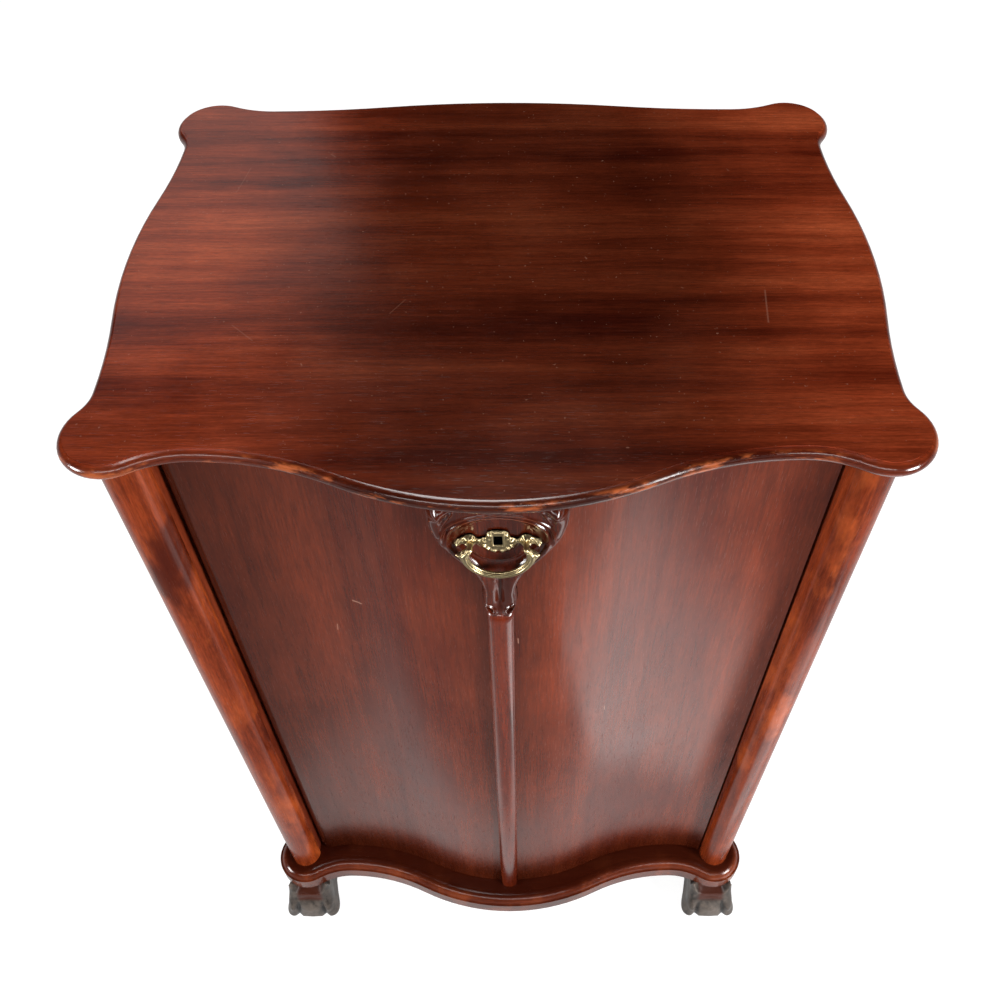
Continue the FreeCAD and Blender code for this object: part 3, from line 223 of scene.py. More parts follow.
@dataclass(frozen=True)
class Timber:
    """Polished wood: broad figure, streaks, short flecks, fibres and pores under a worn varnish.

    Attributes:
        name: Name of the material.
        grain: Direction of the fibres.
        dark: Colour of the dark streaks.
        mid: Usual colour.
        light: Colour of the light streaks.
        figure: Bands per metre across the fibres.
        roughness: Mean roughness of the polish.
        gloss: Specular level of the polish.
        fleck: Strength of the short flecks.
        seed: Shift of the pattern, so that boards differ.
        spread: Width of the tones from dark to light; a smaller one gives bolder bands.
        fibres: Fibres per metre.
        pores: Pores per metre.
        flecks: Flecks per metre.
        clouds: Soft clouds per metre.
        ripples: Ripples of the varnish per metre.
    """

    name: str
    grain: Grain = Grain.ACROSS
    dark: Colour = (0.046, 0.0048, 0.0014)
    mid: Colour = (0.118, 0.0150, 0.0042)
    light: Colour = (0.205, 0.0335, 0.0098)
    figure: float = 15.0
    roughness: float = 0.36
    gloss: float = 0.5
    fleck: float = 0.14
    seed: float = 0.0
    spread: float = 0.36
    fibres: float = 620.0
    pores: float = 1300.0
    flecks: float = 900.0
    clouds: float = 11.0
    ripples: float = 240.0

    def marks(self, graph: Graph, colour: bpy.types.NodeSocket) -> bpy.types.NodeSocket:
        """Colour with this piece's own wear; plain boards have none."""
        return colour

    def make(self) -> bpy.types.Material:
        """Build the material.

        Returns:
            Material whose colour mixes figure, streaks, flecks, fibres and pores.
        """
        graph = Graph(self.name)
        along = graph.mapped(self.grain.value, (self.seed, self.seed * 0.7, self.seed * 1.3))
        short = graph.mapped([max(part, 0.2) for part in self.grain.value], (self.seed, 0.3, self.seed * 0.6))
        free = graph.mapped((1, 1, 1), (self.seed * 1.9, self.seed, self.seed * 0.4))
        figure = graph.noise(along, self.figure, 5.0, 0.6, 0.35)
        streak = graph.noise(along, self.figure * 6.5, 4.0, 0.6, 0.2)
        fibre = graph.noise(along, self.fibres, 3.0, 0.6)
        pore = graph.noise(along, self.pores, 2.0, 0.5)
        mottle = graph.noise(free, self.clouds, 4.0, 0.55)
        tone = graph.calc("MULTIPLY_ADD", figure, 0.62, graph.calc("MULTIPLY", streak, 0.38))
        tone = graph.calc("MULTIPLY_ADD", graph.calc("SUBTRACT", mottle, 0.5), 0.3, tone)
        stops = (0.5 - self.spread / 2, 0.5, 0.5 + self.spread / 2)
        colour = graph.ramp(tone, list(zip(stops, (self.dark, self.mid, self.light))))
        colour = graph.tint(colour, graph.span(fibre, 0.3, 0.7, 0.78, 1.18))
        fleck = graph.noise(short, self.flecks, 2.0, 0.5)
        colour = graph.tint(colour, graph.span(fleck, 0.35, 0.68, 1.0 - self.fleck, 1.0 + self.fleck))
        open_pore = graph.span(pore, 0.6, 0.72)
        colour = graph.blend(graph.calc("MULTIPLY", open_pore, 0.5), colour, self.dark)
        colour = self.marks(graph, colour)
        height = graph.calc("MULTIPLY_ADD", open_pore, -0.8, graph.calc("MULTIPLY", fibre, 0.35))
        peel = graph.noise(free, self.ripples, 2.0, 0.5)
        normal = graph.bump(graph.calc("MULTIPLY_ADD", peel, 0.9, height), 0.09, 0.0004)
        rough = graph.calc("MULTIPLY_ADD", graph.calc("SUBTRACT", mottle, 0.5), 0.2, self.roughness)
        rough = graph.calc("MULTIPLY_ADD", open_pore, 0.1, rough)
        return graph.shade({"Base Color": colour, "Roughness": rough, "Normal": normal,
                            "Specular IOR Level": self.gloss})


@dataclass(frozen=True)
class TopTimber(Timber):
    """Top board: painted shade that darkens the middle and painted light that brightens the sides, a darker
    edge, orange wear along the nose, fine pale scratches and specks.

    Attributes:
        worn: Colour of the rubbed nose.
        pale: Colour of scratches and specks.
        squash: Scale of the oval of painted shade in the middle.
        offset: Shift of that oval.
        ring: Radii of the oval between which the painted shade turns into painted light.
        middle: Painted shade inside the oval and painted light outside it.
        edge: Depths below the top between which the edge darkens, and its shade.
        nose: Depths between which the worn nose begins.
        front: Places between which the wear fades in.
        strokes: Both ends, half width and strength of each scratch.
    """

    name: str = "mahogany_top"
    mid: Colour = (0.112, 0.0165, 0.0050)
    light: Colour = (0.185, 0.0345, 0.0115)
    worn: Colour = (0.36, 0.085, 0.024)
    pale: Colour = (0.42, 0.22, 0.15)
    squash: Point = (4.2, 2.2, 0.0)
    offset: Point = (-0.08, 0.0, 0.0)
    ring: tuple[float, float] = (0.42, 1.08)
    middle: tuple[float, float] = (0.52, 1.75)
    edge: Shade = (0.0008, 0.0022, 0.5)
    nose: tuple[float, float] = (0.0012, 0.003)
    front: tuple[float, float] = (-0.10, -0.16)
    strokes: Sequence[Stroke] = (
        ((0.194, -0.033, TOP_LEVEL), (0.191, -0.068, TOP_LEVEL), 0.0010, 0.18),
        ((-0.189, -0.069, TOP_LEVEL), (-0.172, -0.085, TOP_LEVEL), 0.0007, 0.12),
        ((-0.078, -0.057, TOP_LEVEL), (-0.068, -0.042, TOP_LEVEL), 0.0007, 0.1),
        ((-0.214, 0.094, TOP_LEVEL), (-0.2085, 0.1275, TOP_LEVEL), 0.0007, 0.1),
        ((-0.144, 0.147, TOP_LEVEL), (-0.140, 0.143, TOP_LEVEL), 0.0009, 0.2),
    )

    def marks(self, graph: Graph, colour: bpy.types.NodeSocket) -> bpy.types.NodeSocket:
        """Painted shade in the middle and painted light at the sides, darker edge, worn nose, specks and
        scratches.

        Args:
            graph: Tree of the material.
            colour: Colour of the plain board.

        Returns:
            The marked colour.
        """
        # painted shade and light: an oval darkens the middle of the top and brightens its sides, as the light
        # falls
        place = graph.mapped(self.squash, self.offset)
        oval = graph.node("ShaderNodeVectorMath", {0: place}, operation="LENGTH")
        colour = graph.tint(colour, graph.span(oval.outputs["Value"], *self.ring, *self.middle))
        height = graph.axis(2)
        first, last, shade = self.edge
        colour = graph.tint(colour, graph.span(height, TOP_LEVEL - first, TOP_LEVEL - last, 1.0, shade))
        patch = graph.span(graph.noise(graph.mapped((1, 1, 4)), 26.0, 5.0, 0.65), 0.52, 0.66)
        first, last = self.nose
        nose = graph.calc("MULTIPLY", graph.span(height, TOP_LEVEL - first, TOP_LEVEL - last), patch)
        rubbed = graph.calc("MULTIPLY", nose, graph.span(graph.axis(1), *self.front))
        colour = graph.blend(graph.calc("MULTIPLY", rubbed, 0.8), colour, self.worn)
        speck = graph.span(graph.noise(graph.mapped((1, 1, 1)), 420.0, 1.0, 0.4), 0.75, 0.8)
        colour = graph.blend(graph.calc("MULTIPLY", speck, 0.2), colour, self.pale)
        for start, end, width, strength in self.strokes:
            mask = graph.scratch(start, end, width, Face.LEVEL)
            colour = graph.blend(graph.calc("MULTIPLY", mask, strength), colour, self.pale)
        return colour


@dataclass(frozen=True)
class DoorTimber(Timber):
    """Door panel: even upright grain with pale nicks, darkened by painted shade to the left, at both ends and
    by the bead; to the left the wood's figure is partly darker too.

    Attributes:
        left: Place across of the full painted shade, of none, and the shade; there the wood's figure is
            partly darker too.
        upper: The same over the height, at the top: painted shadow under the top board.
        middle: The same over the distance from the bead: painted shade beside the bead and cartouche.
        foot: The same over the height, at the foot: painted shade above the base.
        pale: Colour of the nicks.
        nicks: Both ends, half width and strength of each nick.
    """

    name: str = "mahogany_door"
    grain: Grain = Grain.UPRIGHT
    dark: Colour = (0.084, 0.0102, 0.0028)
    mid: Colour = (0.130, 0.0200, 0.0058)
    light: Colour = (0.185, 0.0285, 0.0080)
    left: Shade = (-0.19, -0.06, 0.55)
    upper: Shade = (0.84, 0.68, 0.75)
    middle: Shade = (0.01, 0.06, 0.72)
    foot: Shade = (0.12, 0.19, 0.42)
    pale: Colour = (0.45, 0.24, 0.17)
    nicks: Sequence[Stroke] = (
        ((-0.118, 0.0, 0.677), (-0.111, 0.0, 0.676), 0.0011, 0.75),
        ((-0.137, 0.0, 0.633), (-0.138, 0.0, 0.624), 0.0008, 0.5),
        ((0.0128, 0.0, 0.668), (0.0132, 0.0, 0.661), 0.0008, 0.6),
        ((0.090, 0.0, 0.520), (0.091, 0.0, 0.512), 0.0006, 0.35),
    )

    def marks(self, graph: Graph, colour: bpy.types.NodeSocket) -> bpy.types.NodeSocket:
        """Four painted shades, then pale nicks.

        Args:
            graph: Tree of the material.
            colour: Colour of the plain panel.

        Returns:
            The marked colour.
        """
        # painted shade: darker to the left, under the top, beside the bead and above the base
        across, height = graph.axis(0), graph.axis(2)
        shades = ((across, self.left), (height, self.upper), (graph.calc("ABSOLUTE", across), self.middle),
                  (height, self.foot))
        for place, (full, none, shade) in shades:
            colour = graph.tint(colour, graph.span(place, full, none, shade, 1.0))
        for start, end, width, strength in self.nicks:
            mask = graph.scratch(start, end, width, Face.FRONT)
            colour = graph.blend(graph.calc("MULTIPLY", mask, strength), colour, self.pale)
        return colour


@dataclass(frozen=True)
class WornTimber(Timber):
    """Mouldings and columns: dark stain blotches and orange rubbed places.

    Attributes:
        worn: Colour of the rubbed places.
        blotch: Strength of the blotches.
        rub: Strength of the rubbed places.
        stretch: Scale of both along the height; a smaller one gives longer marks.
    """

    worn: Colour = (0.34, 0.062, 0.014)
    blotch: float = 0.6
    rub: float = 0.5
    stretch: float = 0.8

    def marks(self, graph: Graph, colour: bpy.types.NodeSocket) -> bpy.types.NodeSocket:
        """Blotches and rubbed places from two soft noises.

        Args:
            graph: Tree of the material.
            colour: Colour of the plain wood.

        Returns:
            The marked colour.
        """
        place = graph.mapped((1, 1, self.stretch), (self.seed * 3.1, 0.4, self.seed))
        bright = graph.span(graph.noise(place, 24.0, 5.0, 0.6, 0.2), 0.48, 0.68)
        colour = graph.blend(graph.calc("MULTIPLY", bright, self.rub), colour, self.worn)
        dark = graph.span(graph.noise(place, 17.0, 4.0, 0.55, 0.3), 0.56, 0.66)
        return graph.blend(graph.calc("MULTIPLY", dark, self.blotch), colour, self.dark)


@dataclass(frozen=True)
class BaseTimber(WornTimber):
    """Base: worn moulding below a ledge darkened by painted shade and a painted reflection of the dark door.

    Attributes:
        ledge: Height from which the painted shade darkens the wood.
        shade: Colour of the painted shade on the ledge.
    """

    ledge: float = 0.1042
    shade: Colour = (0.022, 0.0026, 0.0009)

    def marks(self, graph: Graph, colour: bpy.types.NodeSocket) -> bpy.types.NodeSocket:
        """Wear, then the painted shade on the ledge.

        Args:
            graph: Tree of the material.
            colour: Colour of the plain wood.

        Returns:
            The marked colour.
        """
        colour = super().marks(graph, colour)
        # painted shade and reflection: the ledge under the door and the top is darkened
        above = graph.span(graph.axis(2), self.ledge - 0.003, self.ledge, 0.0, 0.85)
        return graph.blend(above, colour, self.shade)


@dataclass(frozen=True)
class CarvedTimber(Timber):
    """Carved wood: orange where the sharp crests are rubbed."""

    worn: Colour = (0.40, 0.110, 0.036)

    def marks(self, graph: Graph, colour: bpy.types.NodeSocket) -> bpy.types.NodeSocket:
        """Rubbed crests."""
        raised = graph.node("ShaderNodeNewGeometry").outputs["Pointiness"]
        return graph.blend(graph.span(raised, 0.53, 0.62, 0.0, 0.7), colour, self.worn)


@dataclass(frozen=True)
class DarkCarving:
    """Nearly black carved wood with a dusty grey bloom, rubbed high places and a brown ankle that is painted
    shade and a painted reflection of the mahogany base above it.

    Attributes:
        base: Colour in the hollows.
        dust: Colour of the bloom.
        stain: Colour of the painted shade and reflection at the ankle.
        ankle: Height from which the ankle takes the painted brown.
        girth: Distances from the ankle's middle where the brown ends and where it is full.
    """

    name: str = "dark_carving"
    base: Colour = (0.016, 0.0132, 0.0116)
    dust: Colour = (0.118, 0.094, 0.078)
    stain: Colour = (0.050, 0.0110, 0.0050)
    ankle: float = 0.050
    girth: tuple[float, float] = (0.018, 0.012)

    def make(self) -> bpy.types.Material:
        """Build the material.

        Returns:
            Material whose tone follows two noises and the high places.
        """
        graph = Graph(self.name)
        cloud = graph.noise(graph.mapped((1, 1, 1)), 60.0, 5.0, 0.6, 0.3)
        fine = graph.noise(graph.mapped((1, 1, 0.6)), 190.0, 4.0, 0.6)
        raised = graph.node("ShaderNodeNewGeometry").outputs["Pointiness"]
        tone = graph.calc("MULTIPLY_ADD", fine, 0.6, graph.calc("MULTIPLY", cloud, 0.5))
        tone = graph.calc("ADD", tone, graph.span(raised, 0.46, 0.56, -0.2, 0.16))
        colour = graph.ramp(tone, [(0.34, self.base), (0.74, self.dust)])
        # painted shade and reflection: brown near the ankle, under the overhanging base
        aside = graph.calc("SUBTRACT", graph.calc("ABSOLUTE", graph.axis(0)), ANKLE_X * MM)
        near = graph.span(graph.calc("ABSOLUTE", aside), *self.girth)
        above = graph.span(graph.axis(2), self.ankle - 0.006, self.ankle)
        colour = graph.blend(graph.calc("MULTIPLY", near, above), colour, self.stain)
        normal = graph.bump(graph.calc("MULTIPLY_ADD", fine, 0.6, cloud), 0.25, 0.0008)
        return graph.shade({"Base Color": colour, "Roughness": graph.span(cloud, 0.3, 0.7, 0.32, 0.5),
                            "Specular IOR Level": 0.2, "Normal": normal})


@dataclass(frozen=True)
class AgedBrass:
    """Cast brass: pale rubbed ridges, brown tarnish in the hollows, and painted shade, black, inside the
    keyhole.

    Attributes:
        bright: Colour of the ridges.
        tarnish: Colour of the hollows.
        black: Colour of the painted shade inside the keyhole.
        roughness: Mean roughness.
        socket_y: Place behind which the keyhole is painted black as shade.
    """

    name: str = "aged_brass"
    bright: Colour = (0.50, 0.40, 0.22)
    tarnish: Colour = (0.085, 0.056, 0.026)
    black: Colour = (0.004, 0.003, 0.002)
    roughness: float = 0.34
    socket_y: float = -0.2088

    def make(self) -> bpy.types.Material:
        """Build the material."""
        graph = Graph(self.name)
        cloud = graph.noise(graph.mapped((1, 1, 1)), 240.0, 4.0, 0.6)
        raised = graph.node("ShaderNodeNewGeometry").outputs["Pointiness"]
        tone = graph.calc("MULTIPLY_ADD", cloud, 0.35, graph.span(raised, 0.42, 0.57, 0.0, 0.8))
        colour = graph.ramp(tone, [(0.25, self.tarnish), (0.7, self.bright)])
        # painted shade: the keyhole's inside is black
        hole = graph.span(graph.axis(1), self.socket_y - 0.0008, self.socket_y)
        colour = graph.blend(hole, colour, self.black)
        normal = graph.bump(graph.noise(graph.mapped((1, 1, 1)), 900.0, 3.0, 0.6), 0.18, 0.0003)
        rough = graph.calc("MULTIPLY_ADD", graph.calc("SUBTRACT", cloud, 0.5), 0.3, self.roughness)
        return graph.shade({"Base Color": colour, "Metallic": 1.0, "Roughness": rough, "Normal": normal})


@dataclass(frozen=True)
class PlainMetal:
    """Lock and screw metal with fine brushing."""

    name: str
    colour: Colour
    roughness: float = 0.35

    def make(self) -> bpy.types.Material:
        """Build the material."""
        graph = Graph(self.name)
        brush = graph.noise(graph.mapped((1, 1, 0.1)), 900.0, 3.0, 0.6)
        dull = graph.noise(graph.mapped((1, 1, 1)), 90.0, 4.0, 0.6)
        shadow = tuple(0.45 * part for part in self.colour)
        colour = graph.blend(graph.span(dull, 0.35, 0.7), self.colour, shadow)
        rough = graph.calc("MULTIPLY_ADD", brush, 0.2, self.roughness - 0.1)
        return graph.shade({"Base Color": colour, "Metallic": 1.0, "Roughness": rough,
                            "Normal": graph.bump(brush, 0.1, 0.0002)})


@dataclass(frozen=True)
class StudioWhite:
    """Pale floor that shows as white round the cabinet and still takes its soft shadow.

    Attributes:
        colour: Its own colour.
        glow: Glow in front and far behind.
        front: Places between which mirror rays begin to see the glow.
        rear: Places between which the glow rises.
        mirror: Share of the glow that mirror rays see.
    """

    name: str = "studio_floor"
    colour: Colour = (0.22, 0.22, 0.22)
    glow: tuple[float, float] = (0.9, 1.0)
    front: tuple[float, float] = (-0.37, -0.30)
    rear: tuple[float, float] = (0.0, 1.2)
    mirror: float = 0.6

    def make(self) -> bpy.types.Material:
        """Build the material.

        Returns:
            Material whose glow is even for the camera and fades out in front for mirror rays.
        """
        graph = Graph(self.name)
        path = graph.node("ShaderNodeLightPath").outputs
        mirror = graph.calc("MAXIMUM", path["Is Glossy Ray"], path["Is Transmission Ray"])
        share = graph.calc("MULTIPLY", mirror, graph.span(graph.axis(1), *self.front, 0.0, self.mirror))
        seen = graph.calc("MAXIMUM", path["Is Camera Ray"], share)
        pool = graph.span(graph.axis(1), *self.rear, *self.glow)
        return graph.shade({"Base Color": (*self.colour, 1.0), "Roughness": 0.9,
                            "Emission Color": (1.0, 1.0, 1.0, 1.0),
                            "Emission Strength": graph.calc("MULTIPLY", seen, pool)})


def smoothstep(low: float, high: float, at: np.ndarray) -> np.ndarray:
    """Cubic step from 0 at low to 1 at high: 3 t^2 - 2 t^3."""
    t = np.clip((at - low) / (high - low), 0.0, 1.0)
    return t * t * (3.0 - 2.0 * t)


def hump(distance: np.ndarray, size: float) -> np.ndarray:
    """Bell exp(-(distance / size)^2)."""
    return np.exp(-(distance / size) ** 2)


def flow(knots: Sequence[float], values: Sequence[float], at: np.ndarray) -> np.ndarray:
    """Smooth curve through knots: cubic Hermite with finite-difference slopes.

    Args:
        knots: Rising places.
        values: Value at each place.
        at: Places to evaluate.

    Returns:
        Interpolated values.
    """
    x, y = np.asarray(knots, float), np.asarray(values, float)
    slope = np.gradient(y, x)
    i = np.clip(np.searchsorted(x, at) - 1, 0, len(x) - 2)
    h = x[i + 1] - x[i]
    t = np.clip((at - x[i]) / h, 0.0, 1.0)
    near = (2 * t ** 3 - 3 * t ** 2 + 1) * y[i] + (t ** 3 - 2 * t ** 2 + t) * h * slope[i]
    far = (3 * t ** 2 - 2 * t ** 3) * y[i + 1] + (t ** 3 - t ** 2) * h * slope[i + 1]
    return near + far


def ringed(name: str, rings: np.ndarray) -> bpy.types.Object:
    """Closed skin over a stack of closed rings, capped at both ends.

    Args:
        name: Name of the piece.
        rings: Array of rings, points and XYZ, in millimetres.

    Returns:
        The mesh object, smooth, with its normals outwards.
    """
    count, around = rings.shape[:2]
    index = np.arange(count * around).reshape(count, around)
    after = np.roll(index, -1, axis=1)
    quads = np.stack([index[:-1], after[:-1], after[1:], index[1:]], axis=-1).reshape(-1, 4)
    mesh = bpy.data.meshes.new(name)
    mesh.from_pydata((rings.reshape(-1, 3) * MM).tolist(), [],
                     quads.tolist() + [index[0][::-1].tolist(), index[-1].tolist()])
    work = bmesh.new()
    work.from_mesh(mesh)
    bmesh.ops.recalc_face_normals(work, faces=work.faces)
    work.to_mesh(mesh)
    work.free()
    mesh.polygons.foreach_set("use_smooth", np.ones(len(mesh.polygons), bool))
    piece = bpy.data.objects.new(name, mesh)
    bpy.context.scene.collection.objects.link(piece)
    return piece


def dress(piece: bpy.types.Object, body: str, slot: str, material: bpy.types.Material, *nodes: str) -> None:
    """Give a new piece its finish, body and the nodes that it stands for.

    Args:
        piece: The new mesh object.
        body: Body that it moves with.
        slot: Material slot of the record; not used.
        material: Its finish.
        nodes: Nodes that it replaces.
    """
    piece.data.materials.append(material)
    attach(piece, body)
    if nodes:
        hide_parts(*nodes)
    LOG.info("piece %s on %s: %d faces", piece.name, body, len(piece.data.polygons))


@dataclass
class Cartouche:
    """Carved cartouche: a relief over a side outline, in millimetres.

    Attributes:
        top: Height of the upper edge.
        back: Place of the flat back.
        rim: Height of the flank at the outline.
        proud: Height of the crest.
        band: Width of the flank on the shield and on the neck.
        neck: Drops below the top between which the shield turns into the neck.
        drops: Drops at which the outline is given.
        halves: Half width of the outline at each drop.
        dish: Half width, centre drop, rise and fall of the egg-shaped dish.
        depths: Depths of the shelf behind the crest, the dish, the ledge in it and the neck's flute.
        ridges: Height and egg radius of each arched ridge.
        hole: Half width, both end drops and depth of the keyhole.
        knob: Place across, drop, radius and height of a corner ball.
        eye: Place across, drop and depth of a scroll eye, and the height of its lid.
    """

    top: float = 846.0
    back: float = -199.2
    rim: float = 2.6
    proud: float = 14.2
    band: tuple[float, float] = (8.0, 4.6)
    neck: tuple[float, float] = (78.0, 100.0)
    drops: Sequence[float] = (0, 4, 9, 20, 31, 42, 52, 62, 72, 84, 94, 104, 113, 122, 132)
    halves: Sequence[float] = (41.0, 44.5, 47.0, 48.0, 47.0, 44.0, 39.0, 32.5, 25.5, 18.2, 14.0, 12.3, 12.7,
                               12.2, 9.4)
    dish: tuple[float, float, float, float] = (33.5, 39.0, 22.0, 43.0)
    depths: tuple[float, float, float, float] = (2.6, 3.2, 0.8, 3.4)
    ridges: Sequence[tuple[float, float]] = ((1.5, 1.02), (1.3, 1.15))
    hole: tuple[float, float, float, float] = (3.2, 36.5, 49.5, 7.0)
    knob: tuple[float, float, float, float] = (37.5, 10.0, 5.6, 5.4)
    eye: tuple[float, float, float, float] = (7.6, 122.0, 3.8, 1.8)

    def relief(self, x: np.ndarray, drop: np.ndarray, half: np.ndarray) -> np.ndarray:
        """Height of the carving over its back.

        A quarter-round flank climbs from the outline to a crest, falls a little behind it to a shelf, and
        sinks into an egg-shaped dish under a double arched ridge. A curved vein lies beside each corner
        ball. The neck is fluted and ends in two slanting scroll eyes with lids.

        Args:
            x: Places across.
            drop: Distance below the top.
            half: Half width of the outline there.

        Returns:
            Height in millimetres.
        """
        side = np.abs(x)
        shelf, dish, ledge, flute = self.depths
        neck = smoothstep(*self.neck, drop)
        band = self.band[0] + (self.band[1] - self.band[0]) * neck
        edge = np.minimum(half - side, drop + 2.0)
        climb = np.clip(edge / band, 0.0, 1.0)
        carved = self.rim + (self.proud - self.rim) * np.sqrt(1.0 - (1.0 - climb) ** 2)
        carved -= shelf * smoothstep(0.0, 5.0, edge - band) * (1.0 - neck)
        wide, centre, above, below = self.dish
        egg = np.hypot(x / wide, (drop - centre) / np.where(drop < centre, above, below))
        lower = smoothstep(centre, centre + 12.0, drop)
        upper = 1.0 - smoothstep(centre - 2.0, centre + 12.0, drop)
        carved -= dish * (1.0 - smoothstep(0.72, 1.0, egg))
        carved += lower * (0.7 * hump(egg - 0.66, 0.05) - ledge * (1.0 - smoothstep(0.5, 0.62, egg)))
        for height, radius in self.ridges:
            carved += height * hump(egg - radius, 0.035) * (0.1 + 0.9 * upper)
        short = smoothstep(4.0, 9.0, drop) * (1.0 - smoothstep(18.0, 29.0, drop))
        carved += 1.7 * hump(side - 25.5 - 0.44 * drop, 1.2) * short
        carved -= flute * hump(x, 3.4) * smoothstep(74.0, 92.0, drop) * (1.0 - smoothstep(112.0, 127.0, drop))
        eye_x, eye_drop, socket, lid = self.eye
        dx, dz = side - eye_x, drop - eye_drop
        along, over = 0.79 * dz - 0.62 * dx, 0.79 * dx + 0.62 * dz
        carved -= socket * hump(over, 1.6) * hump(along, 4.4)
        carved += lid * hump(np.hypot(over, along / 2.0) - 2.9, 0.9)
        ball_x, ball_drop, radius, height = self.knob
        carved += height * hump(np.hypot(side - ball_x, drop - ball_drop), radius)
        wide, first, last, depth = self.hole
        gap = np.maximum(side - wide, np.maximum(first - drop, drop - last))
        return carved - depth * (1.0 - smoothstep(-0.4, 0.2, gap))

    def build(self) -> bpy.types.Object:
        """Closed ring at each height: carved front, flat back.

        Returns:
            The cartouche.
        """
        drop = np.linspace(0.0, self.drops[-1], 330)[:, None]
        half = flow(self.drops, self.halves, drop)
        share = np.sin(np.linspace(-1.0, 1.0, 241) * math.pi / 2)[None, :]
        x = half * share
        rise = self.relief(x, drop + 0 * x, half + 0 * x)
        front = np.stack([x, self.back - rise, self.top - drop + 0 * x], axis=-1)
        rear = front[:, ::-10].copy()
        rear[..., 1] = self.back
        return ringed("carved_cartouche", np.concatenate([front, rear], axis=1))


@dataclass
class CentreBead:
    """Half-round bead that runs straight down to the base and narrows a little at its foot.

    Attributes:
        seat: Place of its flat back.
        shoulder: Height of its straight sides.
        proud: Height of its crest.
        half: Half width.
        low: Lower end.
        high: Upper end.
        taper: Share of the width at the lower end, and the stretch over which it widens.
    """

    seat: float = -204.0
    shoulder: float = 2.2
    proud: float = 9.6
    half: float = 10.0
    low: float = 107.0
    high: float = 716.0
    taper: tuple[float, float] = (0.90, 70.0)

    def build(self) -> bpy.types.Object:
        """Rings up the bead: a flat back and an elliptic front, narrowed over the lowest stretch.

        Returns:
            The bead.
        """
        foot = np.linspace(0.0, 1.0, 20) ** 2 * 90.0
        rise = np.concatenate([foot, np.linspace(100.0, self.high - self.low, 40)])
        narrow, stretch = self.taper
        taper = narrow + (1.0 - narrow) * smoothstep(0.0, stretch, rise)
        turn = np.linspace(0.0, math.pi, 49)
        x = -self.half * np.cos(turn)[None, :] * taper[:, None]
        lift = self.shoulder + (self.proud - self.shoulder) * np.sin(turn)[None, :] ** 0.9
        y = self.seat - lift + 0 * x
        z = self.low + rise[:, None] + 0 * x
        front = np.stack([x, y, z], axis=-1)
        rear = front[:, ::-1].copy()[:, ::12]
        rear[..., 1] = self.seat
        return ringed("round_bead", np.concatenate([front, rear], axis=1))


